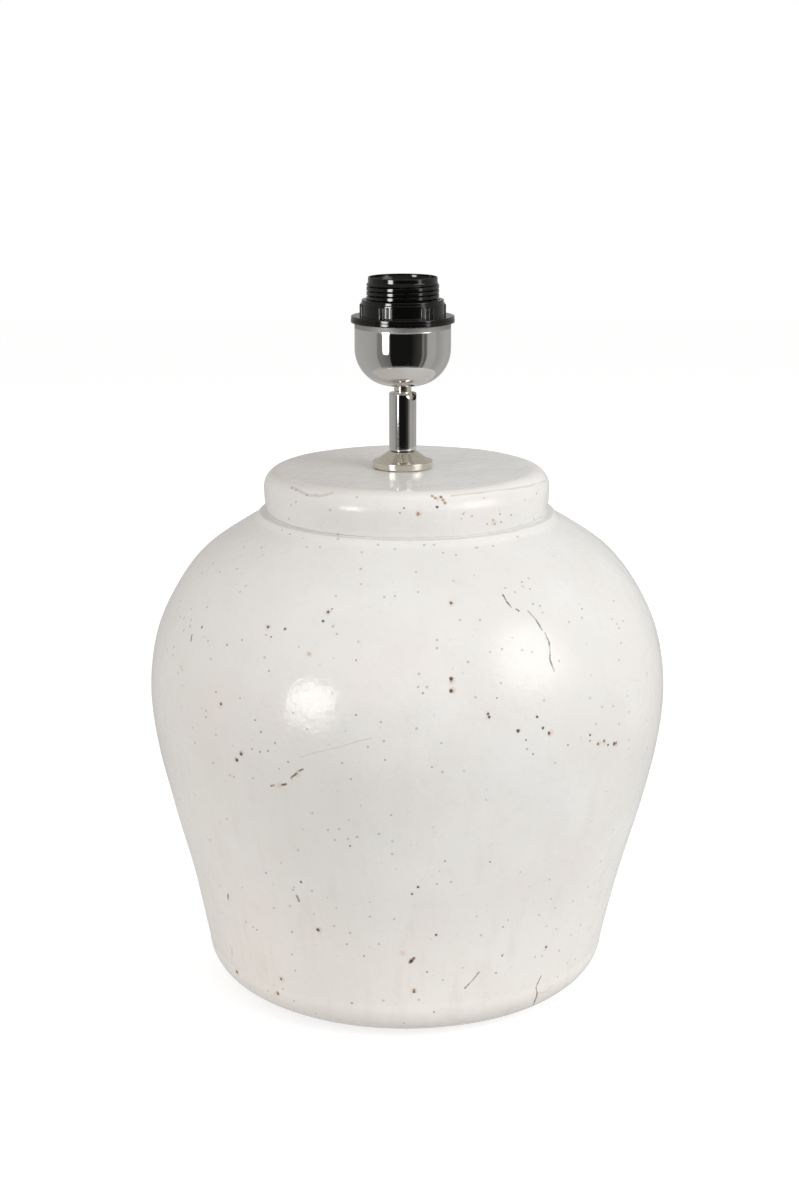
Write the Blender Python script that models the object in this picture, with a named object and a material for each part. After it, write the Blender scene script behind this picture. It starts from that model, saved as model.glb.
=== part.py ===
# Table lamp base: a glazed ceramic jar with a chrome ball joint and a threaded lampholder.
# Metres, +Z up. The origin is on the table plane, in the middle under the jar.

import math

import bmesh
import bpy
from mathutils import Matrix, Vector

MM = 0.001

# Shared clearances and counts
FIT_GAP = 0.3 * MM
CUT_OVERRUN = 4.0 * MM
JAR_SEGMENTS = 44
ROUND_SEGMENTS = 32
SMALL_SEGMENTS = 20
SMOOTH_ANGLE = math.radians(35)

# Ceramic jar
JAR_HEIGHT = 296.0 * MM
BELLY_DIAMETER = 290.5 * MM
FOOT_CONTACT_DIAMETER = 172.0 * MM
FOOT_EDGE_HEIGHT = 23.0 * MM
COLLAR_DIAMETER = 159.2 * MM
COLLAR_HEIGHT = 23.8 * MM
COLLAR_TOP_ROUND = 10.4 * MM
COLLAR_FLAT_DIAMETER = 138.5 * MM
JAR_WALL = 7.0 * MM
JAR_TOP_WALL = 9.0 * MM
FOOT_RING_WIDTH = 14.0 * MM
FOOT_RECESS_DEPTH = 2.5 * MM
FOOT_FLOOR = 9.0 * MM
FOOT_OPENING_DIAMETER = 124.0 * MM
ROD_HOLE_DIAMETER = 11.0 * MM

# Outline of the jar's body: share of the height from foot edge to crease, share of the belly's radius
BODY_OUTLINE_SHARES = (
    (0.00, 0.788),
    (0.17, 0.850),
    (0.34, 0.929),
    (0.48, 0.983),
    (0.60, 1.000),
    (0.72, 0.971),
    (0.82, 0.898),
    (0.90, 0.798),
    (0.96, 0.655),
    (1.00, 0.534),
)
BODY_STEPS = 2

# Felt pads
PAD_COUNT = 4
PAD_THICKNESS = 1.2 * MM
PAD_DIAMETER = 11.0 * MM

# Cable outlet
OUTLET_HEIGHT = 36.0 * MM
GROMMET_BORE = 7.0 * MM
GROMMET_NECK_DIAMETER = 10.0 * MM
GROMMET_LIP_DIAMETER = 14.0 * MM
GROMMET_LIP = 1.6 * MM

# Hollow threaded rod and what clamps it in the jar's top
ROD_DIAMETER = 9.9 * MM
ROD_BORE = 7.4 * MM
ROD_TAIL = 4.0 * MM
ROD_CHAMFER = 0.5 * MM
FIBRE_WASHER_DIAMETER = 32.0 * MM
FIBRE_WASHER = 1.5 * MM
STEEL_WASHER_DIAMETER = 28.0 * MM
STEEL_WASHER = 1.5 * MM
THREAD_HOLE_DIAMETER = 10.5 * MM
NUT_ACROSS_FLATS = 17.0 * MM
NUT_HEIGHT = 4.0 * MM
NUT_CHAMFER = 0.8 * MM

# Rosette
ROSETTE_DIAMETER = 33.4 * MM
ROSETTE_RIM = 3.9 * MM
ROSETTE_LEDGE_RISE = 0.6 * MM
ROSETTE_CONE_DIAMETER = 27.4 * MM
ROSETTE_CONE = 4.4 * MM
ROSETTE_TOP_DIAMETER = 15.8 * MM
ROSETTE_WALL = 1.2 * MM
ROSETTE_ROUND = 0.4 * MM

# Ball joint
HOUSING_DIAMETER = 15.2 * MM
HOUSING_LENGTH = 32.4 * MM
HOUSING_CHAMFER = 0.7 * MM
HOUSING_THREAD_DEPTH = 10.0 * MM
BALL_DIAMETER = 12.2 * MM
BALL_DEPTH = 4.0 * MM
LIP_DIAMETER = 10.2 * MM
NECK_DIAMETER = 9.6 * MM
STUD_BORE = 6.0 * MM
STUD_FLARE_DIAMETER = 8.4 * MM
STUD_FLARE = 1.8 * MM
SLOT_WIDTH = 10.3 * MM
SLOT_AZIMUTH = math.radians(-37.0)
SLOT_TILT = math.radians(46.0)
SEAT_DEPTH = 7.8 * MM
SEAT_BORE = 8.4 * MM
SEAT_WALL_CLEARANCE = 0.3 * MM
SPRING_WIRE = 1.1 * MM
SPRING_TURNS = 3.5
SPRING_STEPS = 12

# Lampholder cup
CUP_BOTTOM_ABOVE_HOUSING = 4.0 * MM
CUP_DIAMETER = 53.2 * MM
CUP_HEIGHT = 34.6 * MM
CUP_ROUND_HEIGHT = 20.5 * MM
CUP_FLAT_DIAMETER = 13.0 * MM
CUP_WALL = 1.0 * MM
CUP_HOLE_DIAMETER = 10.1 * MM
CUP_STEPS = 7

# Inner cap of the lampholder
CAP_BOSS_DIAMETER = 14.6 * MM
CAP_BOSS_HEIGHT = 8.2 * MM
CAP_CONE_HEIGHT = 6.0 * MM
CAP_DIAMETER = 41.0 * MM
CAP_HEIGHT = 28.7 * MM
CAP_WALL = 2.3 * MM
CAP_FLOOR_HEIGHT = 10.7 * MM
CAP_LEDGE_WIDTH = 2.2 * MM
CAP_LEDGE_HEIGHT = 20.4 * MM
STUD_TOP_ABOVE_CAP_FLOOR = 1.5 * MM
GRUB_DIAMETER = 2.4 * MM
GRUB_HEIGHT_ON_BOSS = 4.1 * MM
GRUB_INSET = 0.3 * MM

# Contact block and contacts
BLOCK_HEIGHT = 6.0 * MM
BLOCK_EDGE = 0.6 * MM
SHROUD_DIAMETER = 32.6 * MM
SHROUD_HEIGHT = 22.0 * MM
SHELL_THREAD_DIAMETER = 26.4 * MM
SHELL_THREAD_DEPTH = 1.0 * MM
SHELL_THREAD_PITCH = 3.63 * MM
SHELL_WALL = 0.6 * MM
SHELL_HEIGHT = 18.6 * MM
SHELL_ROWS_PER_PITCH = 3
SHELL_SEGMENTS = 24
TONGUE_WIDTH = 6.0 * MM
TONGUE_THICKNESS = 0.6 * MM
TONGUE_FOOT = 6.0 * MM
TONGUE_ROOT = 10.5 * MM
TONGUE_REACH = 3.0 * MM
TONGUE_RISE = 4.5 * MM
TERMINAL_LENGTH = 8.0 * MM
TERMINAL_WIDTH = 6.5 * MM
TERMINAL_THICKNESS = 1.2 * MM
TERMINAL_OFFSET = 9.0 * MM
SCREW_DIAMETER = 3.0 * MM
SCREW_HEAD_DIAMETER = 5.6 * MM
SCREW_HEAD = 2.0 * MM
SCREW_GRIP = 3.6 * MM
SCREW_SLOT_WIDTH = 0.9 * MM
SCREW_SLOT_DEPTH = 0.9 * MM

# Outer sleeve
SLEEVE_DIAMETER = 38.2 * MM
SLEEVE_BORE = 35.8 * MM
SLEEVE_LENGTH = 24.7 * MM
SLEEVE_MOUTH_WALL = 0.7 * MM
SLEEVE_MOUTH_DEPTH = 3.0 * MM
SLEEVE_EDGE = 0.4 * MM
SLEEVE_THREAD_DEPTH = 0.85 * MM
SLEEVE_THREAD_PITCH = 2.5 * MM
SLEEVE_PLAIN_BAND = 4.4 * MM
SLEEVE_ROWS_PER_PITCH = 4
SLEEVE_FLANGE_DIAMETER = 57.2 * MM
SLEEVE_FLANGE = 1.6 * MM
SKIRT_WALL = 1.8 * MM
SKIRT_DEPTH = 10.0 * MM
HOLD_LIP_WALL = 1.1 * MM

# Shade ring
RING_FLANGE_DIAMETER = 56.9 * MM
RING_FLANGE = 1.7 * MM
RING_COLLAR_DIAMETER = 46.0 * MM
RING_COLLAR = 7.0 * MM
RING_STEP_DIAMETER = 45.2 * MM
RING_HEIGHT = 10.6 * MM
RING_EDGE = 0.5 * MM
RIB_DIAMETER = 1.5 * MM
RIB_HEIGHT = 6.4 * MM
RIB_GROUPS = 6
RIBS_PER_GROUP = 4
RIB_SPACING = math.radians(6.0)
RIB_FIRST_AZIMUTH = math.radians(-114.0)

# Heights that follow from the sizes above
JAR_BOTTOM = PAD_THICKNESS + FIT_GAP
JAR_TOP = JAR_BOTTOM + JAR_HEIGHT
JAR_TOP_UNDERSIDE = JAR_TOP - JAR_TOP_WALL
CREASE_HEIGHT = JAR_HEIGHT - COLLAR_HEIGHT
BODY_HEIGHT = CREASE_HEIGHT - FOOT_EDGE_HEIGHT
COLLAR_EQUATOR = JAR_HEIGHT - COLLAR_TOP_ROUND
FIBRE_WASHER_BOTTOM = JAR_TOP_UNDERSIDE - FIT_GAP - FIBRE_WASHER
STEEL_WASHER_BOTTOM = FIBRE_WASHER_BOTTOM - FIT_GAP - STEEL_WASHER
NUT_BOTTOM = STEEL_WASHER_BOTTOM - FIT_GAP - NUT_HEIGHT
ROD_BOTTOM = NUT_BOTTOM - ROD_TAIL
ROSETTE_HEIGHT = ROSETTE_RIM + ROSETTE_LEDGE_RISE + ROSETTE_CONE
ROSETTE_BOTTOM = JAR_TOP + FIT_GAP
HOUSING_BOTTOM = ROSETTE_BOTTOM + ROSETTE_HEIGHT + FIT_GAP
HOUSING_TOP = HOUSING_BOTTOM + HOUSING_LENGTH
CAVITY_FLOOR = HOUSING_BOTTOM + HOUSING_THREAD_DEPTH
ROD_TOP = CAVITY_FLOOR - FIT_GAP
BALL_CENTRE = HOUSING_TOP - BALL_DEPTH
SEAT_BOTTOM = BALL_CENTRE - SEAT_DEPTH
CUP_BOTTOM = HOUSING_TOP + CUP_BOTTOM_ABOVE_HOUSING
CUP_TOP = CUP_BOTTOM + CUP_HEIGHT
CAP_BOTTOM = CUP_BOTTOM + CUP_WALL + FIT_GAP
CAP_TOP = CAP_BOTTOM + CAP_HEIGHT
STUD_TOP = CAP_BOTTOM + CAP_FLOOR_HEIGHT + STUD_TOP_ABOVE_CAP_FLOOR
BLOCK_BOTTOM = CAP_BOTTOM + CAP_LEDGE_HEIGHT + FIT_GAP
BLOCK_TOP = BLOCK_BOTTOM + BLOCK_HEIGHT
SLEEVE_BOTTOM = CUP_TOP + FIT_GAP
RING_BOTTOM = SLEEVE_BOTTOM + SLEEVE_FLANGE + FIT_GAP

# Radii that follow from the sizes above
BALL_SOCKET_RADIUS = BALL_DIAMETER / 2 + FIT_GAP
CAP_INNER_RADIUS = CAP_DIAMETER / 2 - CAP_WALL
BLOCK_RADIUS = CAP_INNER_RADIUS - FIT_GAP


def remove_everything():
    for old in list(bpy.data.objects):
        bpy.data.objects.remove(old, do_unlink=True)


def make_material(name, colour, roughness, metallic):
    material = bpy.data.materials.new(name)
    material.use_nodes = True
    shader = material.node_tree.nodes["Principled BSDF"]
    shader.inputs["Base Color"].default_value = (*colour, 1.0)
    shader.inputs["Roughness"].default_value = roughness
    shader.inputs["Metallic"].default_value = metallic
    material.diffuse_color = (*colour, 1.0)
    return material


def make_axis(name, height, parent=None):
    axis = bpy.data.objects.new(name, None)
    bpy.context.collection.objects.link(axis)
    axis.location.z = height
    if parent:
        axis.parent = parent
        axis.location.z = height - parent.location.z
    return axis


def add_object(name, mesh, material=None):
    piece = bpy.data.objects.new(name, mesh)
    bpy.context.collection.objects.link(piece)
    if material:
        mesh.materials.append(material)
    return piece


def seat(piece, height, parent=None):
    """Put a piece at a world height, under a parent empty that only moves it up."""
    carried = 0.0
    ancestor = parent
    while ancestor:
        carried += ancestor.location.z
        ancestor = ancestor.parent
    piece.parent = parent
    piece.location.z = height - carried
    return piece


def arc(centre, radii, start, end, steps):
    """Points on an ellipse in the radius-height plane, angles in degrees from +radius."""
    points = []
    for step in range(steps + 1):
        angle = math.radians(start + (end - start) * step / steps)
        points.append((centre[0] + radii[0] * math.cos(angle), centre[1] + radii[1] * math.sin(angle)))
    return points


def smooth_through(knots, steps):
    """Catmull-Rom curve through the knots."""
    points = []
    last = len(knots) - 1
    for index in range(last):
        before = Vector(knots[max(index - 1, 0)])
        here = Vector(knots[index])
        there = Vector(knots[index + 1])
        after = Vector(knots[min(index + 2, last)])
        for step in range(steps):
            t = step / steps
            leave = (there - before) / 2
            arrive = (after - here) / 2
            point = (
                here * (2 * t ** 3 - 3 * t ** 2 + 1)
                + leave * (t ** 3 - 2 * t ** 2 + t)
                + there * (3 * t ** 2 - 2 * t ** 3)
                + arrive * (t ** 3 - t ** 2)
            )
            points.append(tuple(point))
    points.append(tuple(knots[-1]))
    return points


def inset(points, distance):
    """The same open outline, moved to its left-hand side by a distance."""
    moved = []
    for index, point in enumerate(points):
        before = Vector(points[max(index - 1, 0)])
        after = Vector(points[min(index + 1, len(points) - 1)])
        along = (after - before).normalized()
        moved.append((point[0] - along.y * distance, point[1] + along.x * distance))
    return moved


def finish_mesh(name, shape):
    bmesh.ops.recalc_face_normals(shape, faces=shape.faces)
    mesh = bpy.data.meshes.new(name)
    shape.to_mesh(mesh)
    shape.free()
    mesh.shade_smooth()
    mesh.set_sharp_from_angle(angle=SMOOTH_ANGLE)
    return mesh


def turned(name, outline, segments, material=None):
    """Solid of revolution about Z. The outline is a closed loop, or a function of the angle that gives one."""
    shape = bmesh.new()
    columns = []
    axis_points = {}
    for index in range(segments):
        angle = 2 * math.pi * index / segments
        loop = outline(angle) if callable(outline) else outline
        column = []
        for row, (radius, height) in enumerate(loop):
            if radius == 0:
                if row not in axis_points:
                    axis_points[row] = shape.verts.new((0, 0, height))
                column.append(axis_points[row])
            else:
                column.append(shape.verts.new((radius * math.cos(angle), radius * math.sin(angle), height)))
        columns.append(column)
    rows = len(columns[0])
    for index in range(segments):
        this = columns[index]
        following = columns[(index + 1) % segments]
        for row in range(rows):
            above = (row + 1) % rows
            corners = []
            for vertex in (this[row], following[row], following[above], this[above]):
                if vertex not in corners:
                    corners.append(vertex)
            if len(corners) > 2:
                shape.faces.new(corners)
    return add_object(name, finish_mesh(name, shape), material)


def prism(name, corners, height, material=None):
    """Upright prism on a flat polygon in the XY plane."""
    shape = bmesh.new()
    face = shape.faces.new([shape.verts.new((x, y, 0)) for x, y in corners])
    grown = bmesh.ops.extrude_face_region(shape, geom=[face])
    top = [part for part in grown["geom"] if isinstance(part, bmesh.types.BMVert)]
    bmesh.ops.translate(shape, vec=(0, 0, height), verts=top)
    return add_object(name, finish_mesh(name, shape), material)


def cut_or_join(piece, tool, operation):
    """Exact Boolean with a hidden tool shape."""
    modifier = piece.modifiers.new(operation.lower(), "BOOLEAN")
    modifier.object = tool
    modifier.operation = operation
    modifier.solver = "EXACT"
    tool.hide_render = True
    tool.display_type = "WIRE"


def cylinder_tool(name, radius, length, segments):
    """A plain cylinder along Z from its origin, for cutting."""
    return turned(name, [(0, 0), (radius, 0), (radius, length), (0, length)], segments)


def washer(name, outer_diameter, hole_diameter, thickness, edge, material):
    inner = hole_diameter / 2
    outer = outer_diameter / 2
    outline = [
        (inner, 0),
        (outer - edge, 0),
        (outer, edge),
        (outer, thickness - edge),
        (outer - edge, thickness),
        (inner, thickness),
    ]
    return turned(name, outline, SMALL_SEGMENTS, material)


def slotted_screw(name, material):
    """Cheese-head screw that points up from its head, with a screwdriver slot below."""
    head = SCREW_HEAD_DIAMETER / 2
    shank = SCREW_DIAMETER / 2 - FIT_GAP / 2
    tip = SCREW_HEAD + SCREW_GRIP
    outline = [(0, 0), (head, 0), (head, SCREW_HEAD), (shank, SCREW_HEAD), (shank, tip), (0, tip)]
    screw = turned(name, outline, SMALL_SEGMENTS, material)
    half_length = head + CUT_OVERRUN
    half_width = SCREW_SLOT_WIDTH / 2
    corners = [
        (-half_length, -half_width),
        (half_length, -half_width),
        (half_length, half_width),
        (-half_length, half_width),
    ]
    slot = prism(name + "_slot", corners, SCREW_SLOT_DEPTH + CUT_OVERRUN)
    slot.location.z = -CUT_OVERRUN
    slot.parent = screw
    cut_or_join(screw, slot, "DIFFERENCE")
    return screw


def body_outline():
    """Outside of the jar from the foot's contact ring up to the crease under the collar."""
    belly = BELLY_DIAMETER / 2
    knots = []
    for height_share, radius_share in BODY_OUTLINE_SHARES:
        knots.append((belly * radius_share, FOOT_EDGE_HEIGHT + BODY_HEIGHT * height_share))
    return smooth_through(knots, BODY_STEPS)


def jar_outside():
    body = body_outline()
    contact = FOOT_CONTACT_DIAMETER / 2
    foot_edge = arc((contact, FOOT_EDGE_HEIGHT), (body[0][0] - contact, FOOT_EDGE_HEIGHT), -90, 0, 4)
    crease = body[-1]
    collar_radius = COLLAR_DIAMETER / 2
    flat_radius = COLLAR_FLAT_DIAMETER / 2
    lower_round = (collar_radius - crease[0], COLLAR_EQUATOR - crease[1])
    lower = arc((crease[0], COLLAR_EQUATOR), lower_round, -90, 0, 3)
    upper = arc((flat_radius, COLLAR_EQUATOR), (collar_radius - flat_radius, COLLAR_TOP_ROUND), 0, 90, 5)
    return foot_edge[:-1] + body + lower[1:] + upper[1:]


def jar_inside():
    """Inside of the jar, from the rod hole down to the foot opening."""
    body = body_outline()[::BODY_STEPS]
    wall = inset(body, JAR_WALL)
    crease = body[-1]
    inner_collar = COLLAR_DIAMETER / 2 - JAR_WALL
    underside = JAR_HEIGHT - JAR_TOP_WALL
    top_round = COLLAR_TOP_ROUND - JAR_WALL / 2
    top = [
        (ROD_HOLE_DIAMETER / 2, underside),
        (inner_collar - top_round, underside),
        (inner_collar, underside - top_round),
        (crease[0] - JAR_WALL, crease[1] - JAR_WALL / 2),
    ]
    down = [point for point in reversed(wall[:-1]) if point[1] > FOOT_FLOOR + JAR_WALL]
    floor_radius = down[-1][0] - JAR_WALL
    opening = FOOT_OPENING_DIAMETER / 2
    ring_inner = FOOT_CONTACT_DIAMETER / 2 - FOOT_RING_WIDTH
    foot = [
        (floor_radius, FOOT_FLOOR),
        (opening, FOOT_FLOOR),
        (opening, FOOT_RECESS_DEPTH),
        (ring_inner - FOOT_RECESS_DEPTH, FOOT_RECESS_DEPTH),
        (ring_inner, 0),
    ]
    return top + down + foot


def make_jar(material):
    outline = jar_outside() + [(ROD_HOLE_DIAMETER / 2, JAR_HEIGHT)] + jar_inside()
    jar = turned("ceramic_body", outline, JAR_SEGMENTS, material)
    seat(jar, JAR_BOTTOM)
    hole_radius = GROMMET_NECK_DIAMETER / 2 + FIT_GAP
    hole = cylinder_tool("cable_hole", hole_radius, BELLY_DIAMETER / 2, SMALL_SEGMENTS)
    hole.rotation_euler.x = math.radians(-90)
    hole.location.z = OUTLET_HEIGHT
    cut_or_join(jar, hole, "DIFFERENCE")
    return jar


def make_pads(material):
    radius = FOOT_CONTACT_DIAMETER / 2 - FOOT_RING_WIDTH / 2
    for number in range(PAD_COUNT):
        angle = 2 * math.pi * (number + 0.5) / PAD_COUNT
        disc = [(0, 0), (PAD_DIAMETER / 2, 0), (PAD_DIAMETER / 2, PAD_THICKNESS), (0, PAD_THICKNESS)]
        pad = turned(f"felt_pad_{number + 1}", disc, SMALL_SEGMENTS, material)
        pad.location = (radius * math.cos(angle), radius * math.sin(angle), 0)


def wall_layer(name, from_offset, to_offset):
    """A layer of the jar's wall shape near the cable outlet, between two offsets from its outside."""
    body = body_outline()
    span = [point for point in body if point[1] < 2 * OUTLET_HEIGHT + GROMMET_LIP_DIAMETER]
    near = [(point[0] + from_offset, point[1]) for point in span]
    far = [(point[0] + to_offset, point[1]) for point in span]
    layer = turned(name, near[::-1] + far, JAR_SEGMENTS)
    seat(layer, JAR_BOTTOM)
    return layer


def make_grommet(material):
    """Bush with two lips that follow the wall's slope inside and outside."""
    wall_slope = body_outline()
    lean = (wall_slope[1][0] - wall_slope[0][0]) / (wall_slope[1][1] - wall_slope[0][1])
    wall_across = JAR_WALL * math.sqrt(1 + lean * lean)
    outer_lip = wall_layer("grommet_outer_layer", FIT_GAP, FIT_GAP + GROMMET_LIP)
    inner_lip = wall_layer("grommet_inner_layer", -wall_across - FIT_GAP - GROMMET_LIP, -wall_across - FIT_GAP)
    middle = wall_layer("grommet_neck_layer", -wall_across - FIT_GAP - GROMMET_LIP / 2, FIT_GAP + GROMMET_LIP / 2)
    grommet = cylinder_tool("cable_grommet", GROMMET_NECK_DIAMETER / 2, BELLY_DIAMETER / 2, SMALL_SEGMENTS)
    grommet.data.materials.append(material)
    lip = cylinder_tool("grommet_lip", GROMMET_LIP_DIAMETER / 2, BELLY_DIAMETER / 2, SMALL_SEGMENTS)
    second_lip = cylinder_tool("grommet_second_lip", GROMMET_LIP_DIAMETER / 2, BELLY_DIAMETER / 2, SMALL_SEGMENTS)
    bore = cylinder_tool("grommet_bore", GROMMET_BORE / 2, BELLY_DIAMETER / 2, SMALL_SEGMENTS)
    for part in (grommet, lip, second_lip, bore):
        part.rotation_euler.x = math.radians(-90)
        part.location.z = OUTLET_HEIGHT
    cut_or_join(lip, outer_lip, "INTERSECT")
    cut_or_join(second_lip, inner_lip, "INTERSECT")
    cut_or_join(grommet, middle, "INTERSECT")
    cut_or_join(grommet, lip, "UNION")
    cut_or_join(grommet, second_lip, "UNION")
    cut_or_join(grommet, bore, "DIFFERENCE")
    return grommet


def make_rod(material):
    outer = ROD_DIAMETER / 2
    inner = ROD_BORE / 2
    length = ROD_TOP - ROD_BOTTOM
    outline = [
        (inner, 0),
        (outer - ROD_CHAMFER, 0),
        (outer, ROD_CHAMFER),
        (outer, length - ROD_CHAMFER),
        (outer - ROD_CHAMFER, length),
        (inner, length),
    ]
    rod = turned("threaded_rod", outline, SMALL_SEGMENTS, material)
    seat(rod, ROD_BOTTOM)


def make_lock_nut(material):
    flat = NUT_ACROSS_FLATS / 2
    corner = flat / math.cos(math.pi / 6)
    corners = []
    for index in range(6):
        angle = index * math.pi / 3
        corners.append((corner * math.cos(angle), corner * math.sin(angle)))
    nut = prism("lock_nut", corners, NUT_HEIGHT, material)
    seat(nut, NUT_BOTTOM)
    rounding = [
        (THREAD_HOLE_DIAMETER / 2, -CUT_OVERRUN),
        (corner - NUT_CHAMFER - CUT_OVERRUN, -CUT_OVERRUN),
        (corner - NUT_CHAMFER, 0),
        (corner, NUT_CHAMFER / 2),
        (corner, NUT_HEIGHT - NUT_CHAMFER / 2),
        (corner - NUT_CHAMFER, NUT_HEIGHT),
        (corner - NUT_CHAMFER - CUT_OVERRUN, NUT_HEIGHT + CUT_OVERRUN),
        (THREAD_HOLE_DIAMETER / 2, NUT_HEIGHT + CUT_OVERRUN),
    ]
    blank = turned("nut_rounding", rounding, SMALL_SEGMENTS)
    seat(blank, NUT_BOTTOM)
    cut_or_join(nut, blank, "INTERSECT")


def make_clamp_stack(fibre, steel):
    fibre_piece = washer(
        "fibre_washer", FIBRE_WASHER_DIAMETER, THREAD_HOLE_DIAMETER, FIBRE_WASHER, FIBRE_WASHER / 6, fibre
    )
    seat(fibre_piece, FIBRE_WASHER_BOTTOM)
    steel_piece = washer(
        "steel_washer", STEEL_WASHER_DIAMETER, THREAD_HOLE_DIAMETER, STEEL_WASHER, STEEL_WASHER / 6, steel
    )
    seat(steel_piece, STEEL_WASHER_BOTTOM)
    make_lock_nut(steel)


def make_rosette(material):
    outer = ROSETTE_DIAMETER / 2
    cone = ROSETTE_CONE_DIAMETER / 2
    top = ROSETTE_TOP_DIAMETER / 2
    hole = THREAD_HOLE_DIAMETER / 2
    ledge = ROSETTE_RIM + ROSETTE_LEDGE_RISE
    outline = [
        (outer - ROSETTE_WALL, 0),
        (outer, 0),
        (outer, ROSETTE_RIM - ROSETTE_ROUND),
        (outer - ROSETTE_ROUND, ROSETTE_RIM),
        (cone, ledge),
        (top, ROSETTE_HEIGHT - ROSETTE_ROUND),
        (top - ROSETTE_ROUND, ROSETTE_HEIGHT),
        (hole, ROSETTE_HEIGHT),
        (hole, ledge),
        (top, ledge),
        (cone - ROSETTE_WALL, ROSETTE_RIM - ROSETTE_WALL),
        (outer - ROSETTE_WALL, ROSETTE_RIM - ROSETTE_WALL),
    ]
    rosette = turned("rosette", outline, ROUND_SEGMENTS, material)
    seat(rosette, ROSETTE_BOTTOM)


def socket_arc(radius, start_radius, end_radius, steps):
    """Arc of the ball's sphere about the ball centre, upper half, between two radii from the axis."""
    start = math.degrees(math.acos(start_radius / radius))
    end = math.degrees(math.acos(end_radius / radius))
    return arc((0, 0), (radius, radius), start, end, steps)


def make_housing(material):
    """Chrome tube with a threaded foot, a ball socket with a crimped lip, and a slot on one side."""
    outer = HOUSING_DIAMETER / 2
    top = HOUSING_TOP - BALL_CENTRE
    bottom = HOUSING_BOTTOM - BALL_CENTRE
    floor = CAVITY_FLOOR - BALL_CENTRE
    thread = THREAD_HOLE_DIAMETER / 2
    lip = LIP_DIAMETER / 2
    socket = socket_arc(BALL_SOCKET_RADIUS, lip, BALL_SOCKET_RADIUS, 6)
    outline = [
        (thread, bottom),
        (outer - HOUSING_CHAMFER, bottom),
        (outer, bottom + HOUSING_CHAMFER),
        (outer, top - HOUSING_CHAMFER / 2),
        (outer - HOUSING_CHAMFER / 2, top),
        (lip, top),
    ]
    outline += socket
    outline += [(BALL_SOCKET_RADIUS, floor), (thread, floor)]
    housing = turned("joint_housing", outline, ROUND_SEGMENTS, material)
    seat(housing, BALL_CENTRE)
    cut_saddle(housing)
    return housing


def cut_saddle(housing):
    """Slot that lets the neck lie down: a slanted half-round groove, open to the top."""
    half_width = SLOT_WIDTH / 2
    reach = HOUSING_DIAMETER + CUT_OVERRUN
    groove = cylinder_tool("slot_groove", half_width, reach, SMALL_SEGMENTS)
    groove.rotation_euler = (0, SLOT_TILT, SLOT_AZIMUTH)
    seat(groove, BALL_CENTRE)
    far = (reach * math.sin(SLOT_TILT), reach * math.cos(SLOT_TILT))
    shape = bmesh.new()
    side = [(0, 0), far, (far[0], reach), (0, reach)]
    face = shape.faces.new([shape.verts.new((along, -half_width, up)) for along, up in side])
    grown = bmesh.ops.extrude_face_region(shape, geom=[face])
    moved = [part for part in grown["geom"] if isinstance(part, bmesh.types.BMVert)]
    bmesh.ops.translate(shape, vec=(0, SLOT_WIDTH, 0), verts=moved)
    window = add_object("slot_window", finish_mesh("slot_window", shape))
    window.rotation_euler.z = SLOT_AZIMUTH
    seat(window, BALL_CENTRE)
    cut_or_join(housing, groove, "DIFFERENCE")
    cut_or_join(housing, window, "DIFFERENCE")


def make_ball_stud(material, axis):
    """Ball and threaded neck in one piece, bored through for the cable. Its origin is the ball's centre."""
    ball = BALL_DIAMETER / 2
    neck = NECK_DIAMETER / 2
    bore = STUD_BORE / 2
    flare = STUD_FLARE_DIAMETER / 2
    top = STUD_TOP - BALL_CENTRE
    flare_angle = -math.degrees(math.acos(flare / ball))
    neck_angle = math.degrees(math.acos(neck / ball))
    ball_arc = arc((0, 0), (ball, ball), flare_angle, neck_angle, 9)
    outline = [(bore, ball_arc[0][1] + STUD_FLARE)]
    outline += ball_arc
    outline += [(neck, top - ROD_CHAMFER), (neck - ROD_CHAMFER, top), (bore, top)]
    stud = turned("ball_stud", outline, SMALL_SEGMENTS + 4, material)
    seat(stud, BALL_CENTRE, axis)


def make_ball_seat(material):
    outer = BALL_SOCKET_RADIUS - SEAT_WALL_CLEARANCE
    bore = SEAT_BORE / 2
    rim = outer - SEAT_WALL_CLEARANCE * 1.5
    bottom = SEAT_BOTTOM - BALL_CENTRE
    start = -math.degrees(math.acos(rim / BALL_SOCKET_RADIUS))
    end = -math.degrees(math.acos(bore / BALL_SOCKET_RADIUS))
    dish = arc((0, 0), (BALL_SOCKET_RADIUS, BALL_SOCKET_RADIUS), start, end, 5)
    outline = [(bore, bottom), (outer, bottom), (outer, dish[0][1])] + dish
    ball_seat = turned("ball_seat", outline, SMALL_SEGMENTS + 4, material)
    seat(ball_seat, BALL_CENTRE)


def make_spring(material):
    """Coil spring that presses the seat on the ball."""
    wire = SPRING_WIRE / 2
    coil_radius = BALL_SOCKET_RADIUS - FIT_GAP - wire
    bottom = CAVITY_FLOOR + FIT_GAP + wire
    climb = SEAT_BOTTOM - FIT_GAP - wire - bottom
    curve = bpy.data.curves.new("joint_spring", "CURVE")
    curve.dimensions = "3D"
    curve.bevel_depth = wire
    curve.bevel_resolution = 1
    curve.use_fill_caps = True
    line = curve.splines.new("POLY")
    count = int(SPRING_TURNS * SPRING_STEPS)
    line.points.add(count)
    for index, point in enumerate(line.points):
        angle = 2 * math.pi * index / SPRING_STEPS
        height = bottom + climb * index / count
        point.co = (coil_radius * math.cos(angle), coil_radius * math.sin(angle), height, 1)
    curve.materials.append(material)
    spring = bpy.data.objects.new("joint_spring", curve)
    bpy.context.collection.objects.link(spring)
    print("least gap between spring turns", climb / SPRING_TURNS - SPRING_WIRE)


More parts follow.
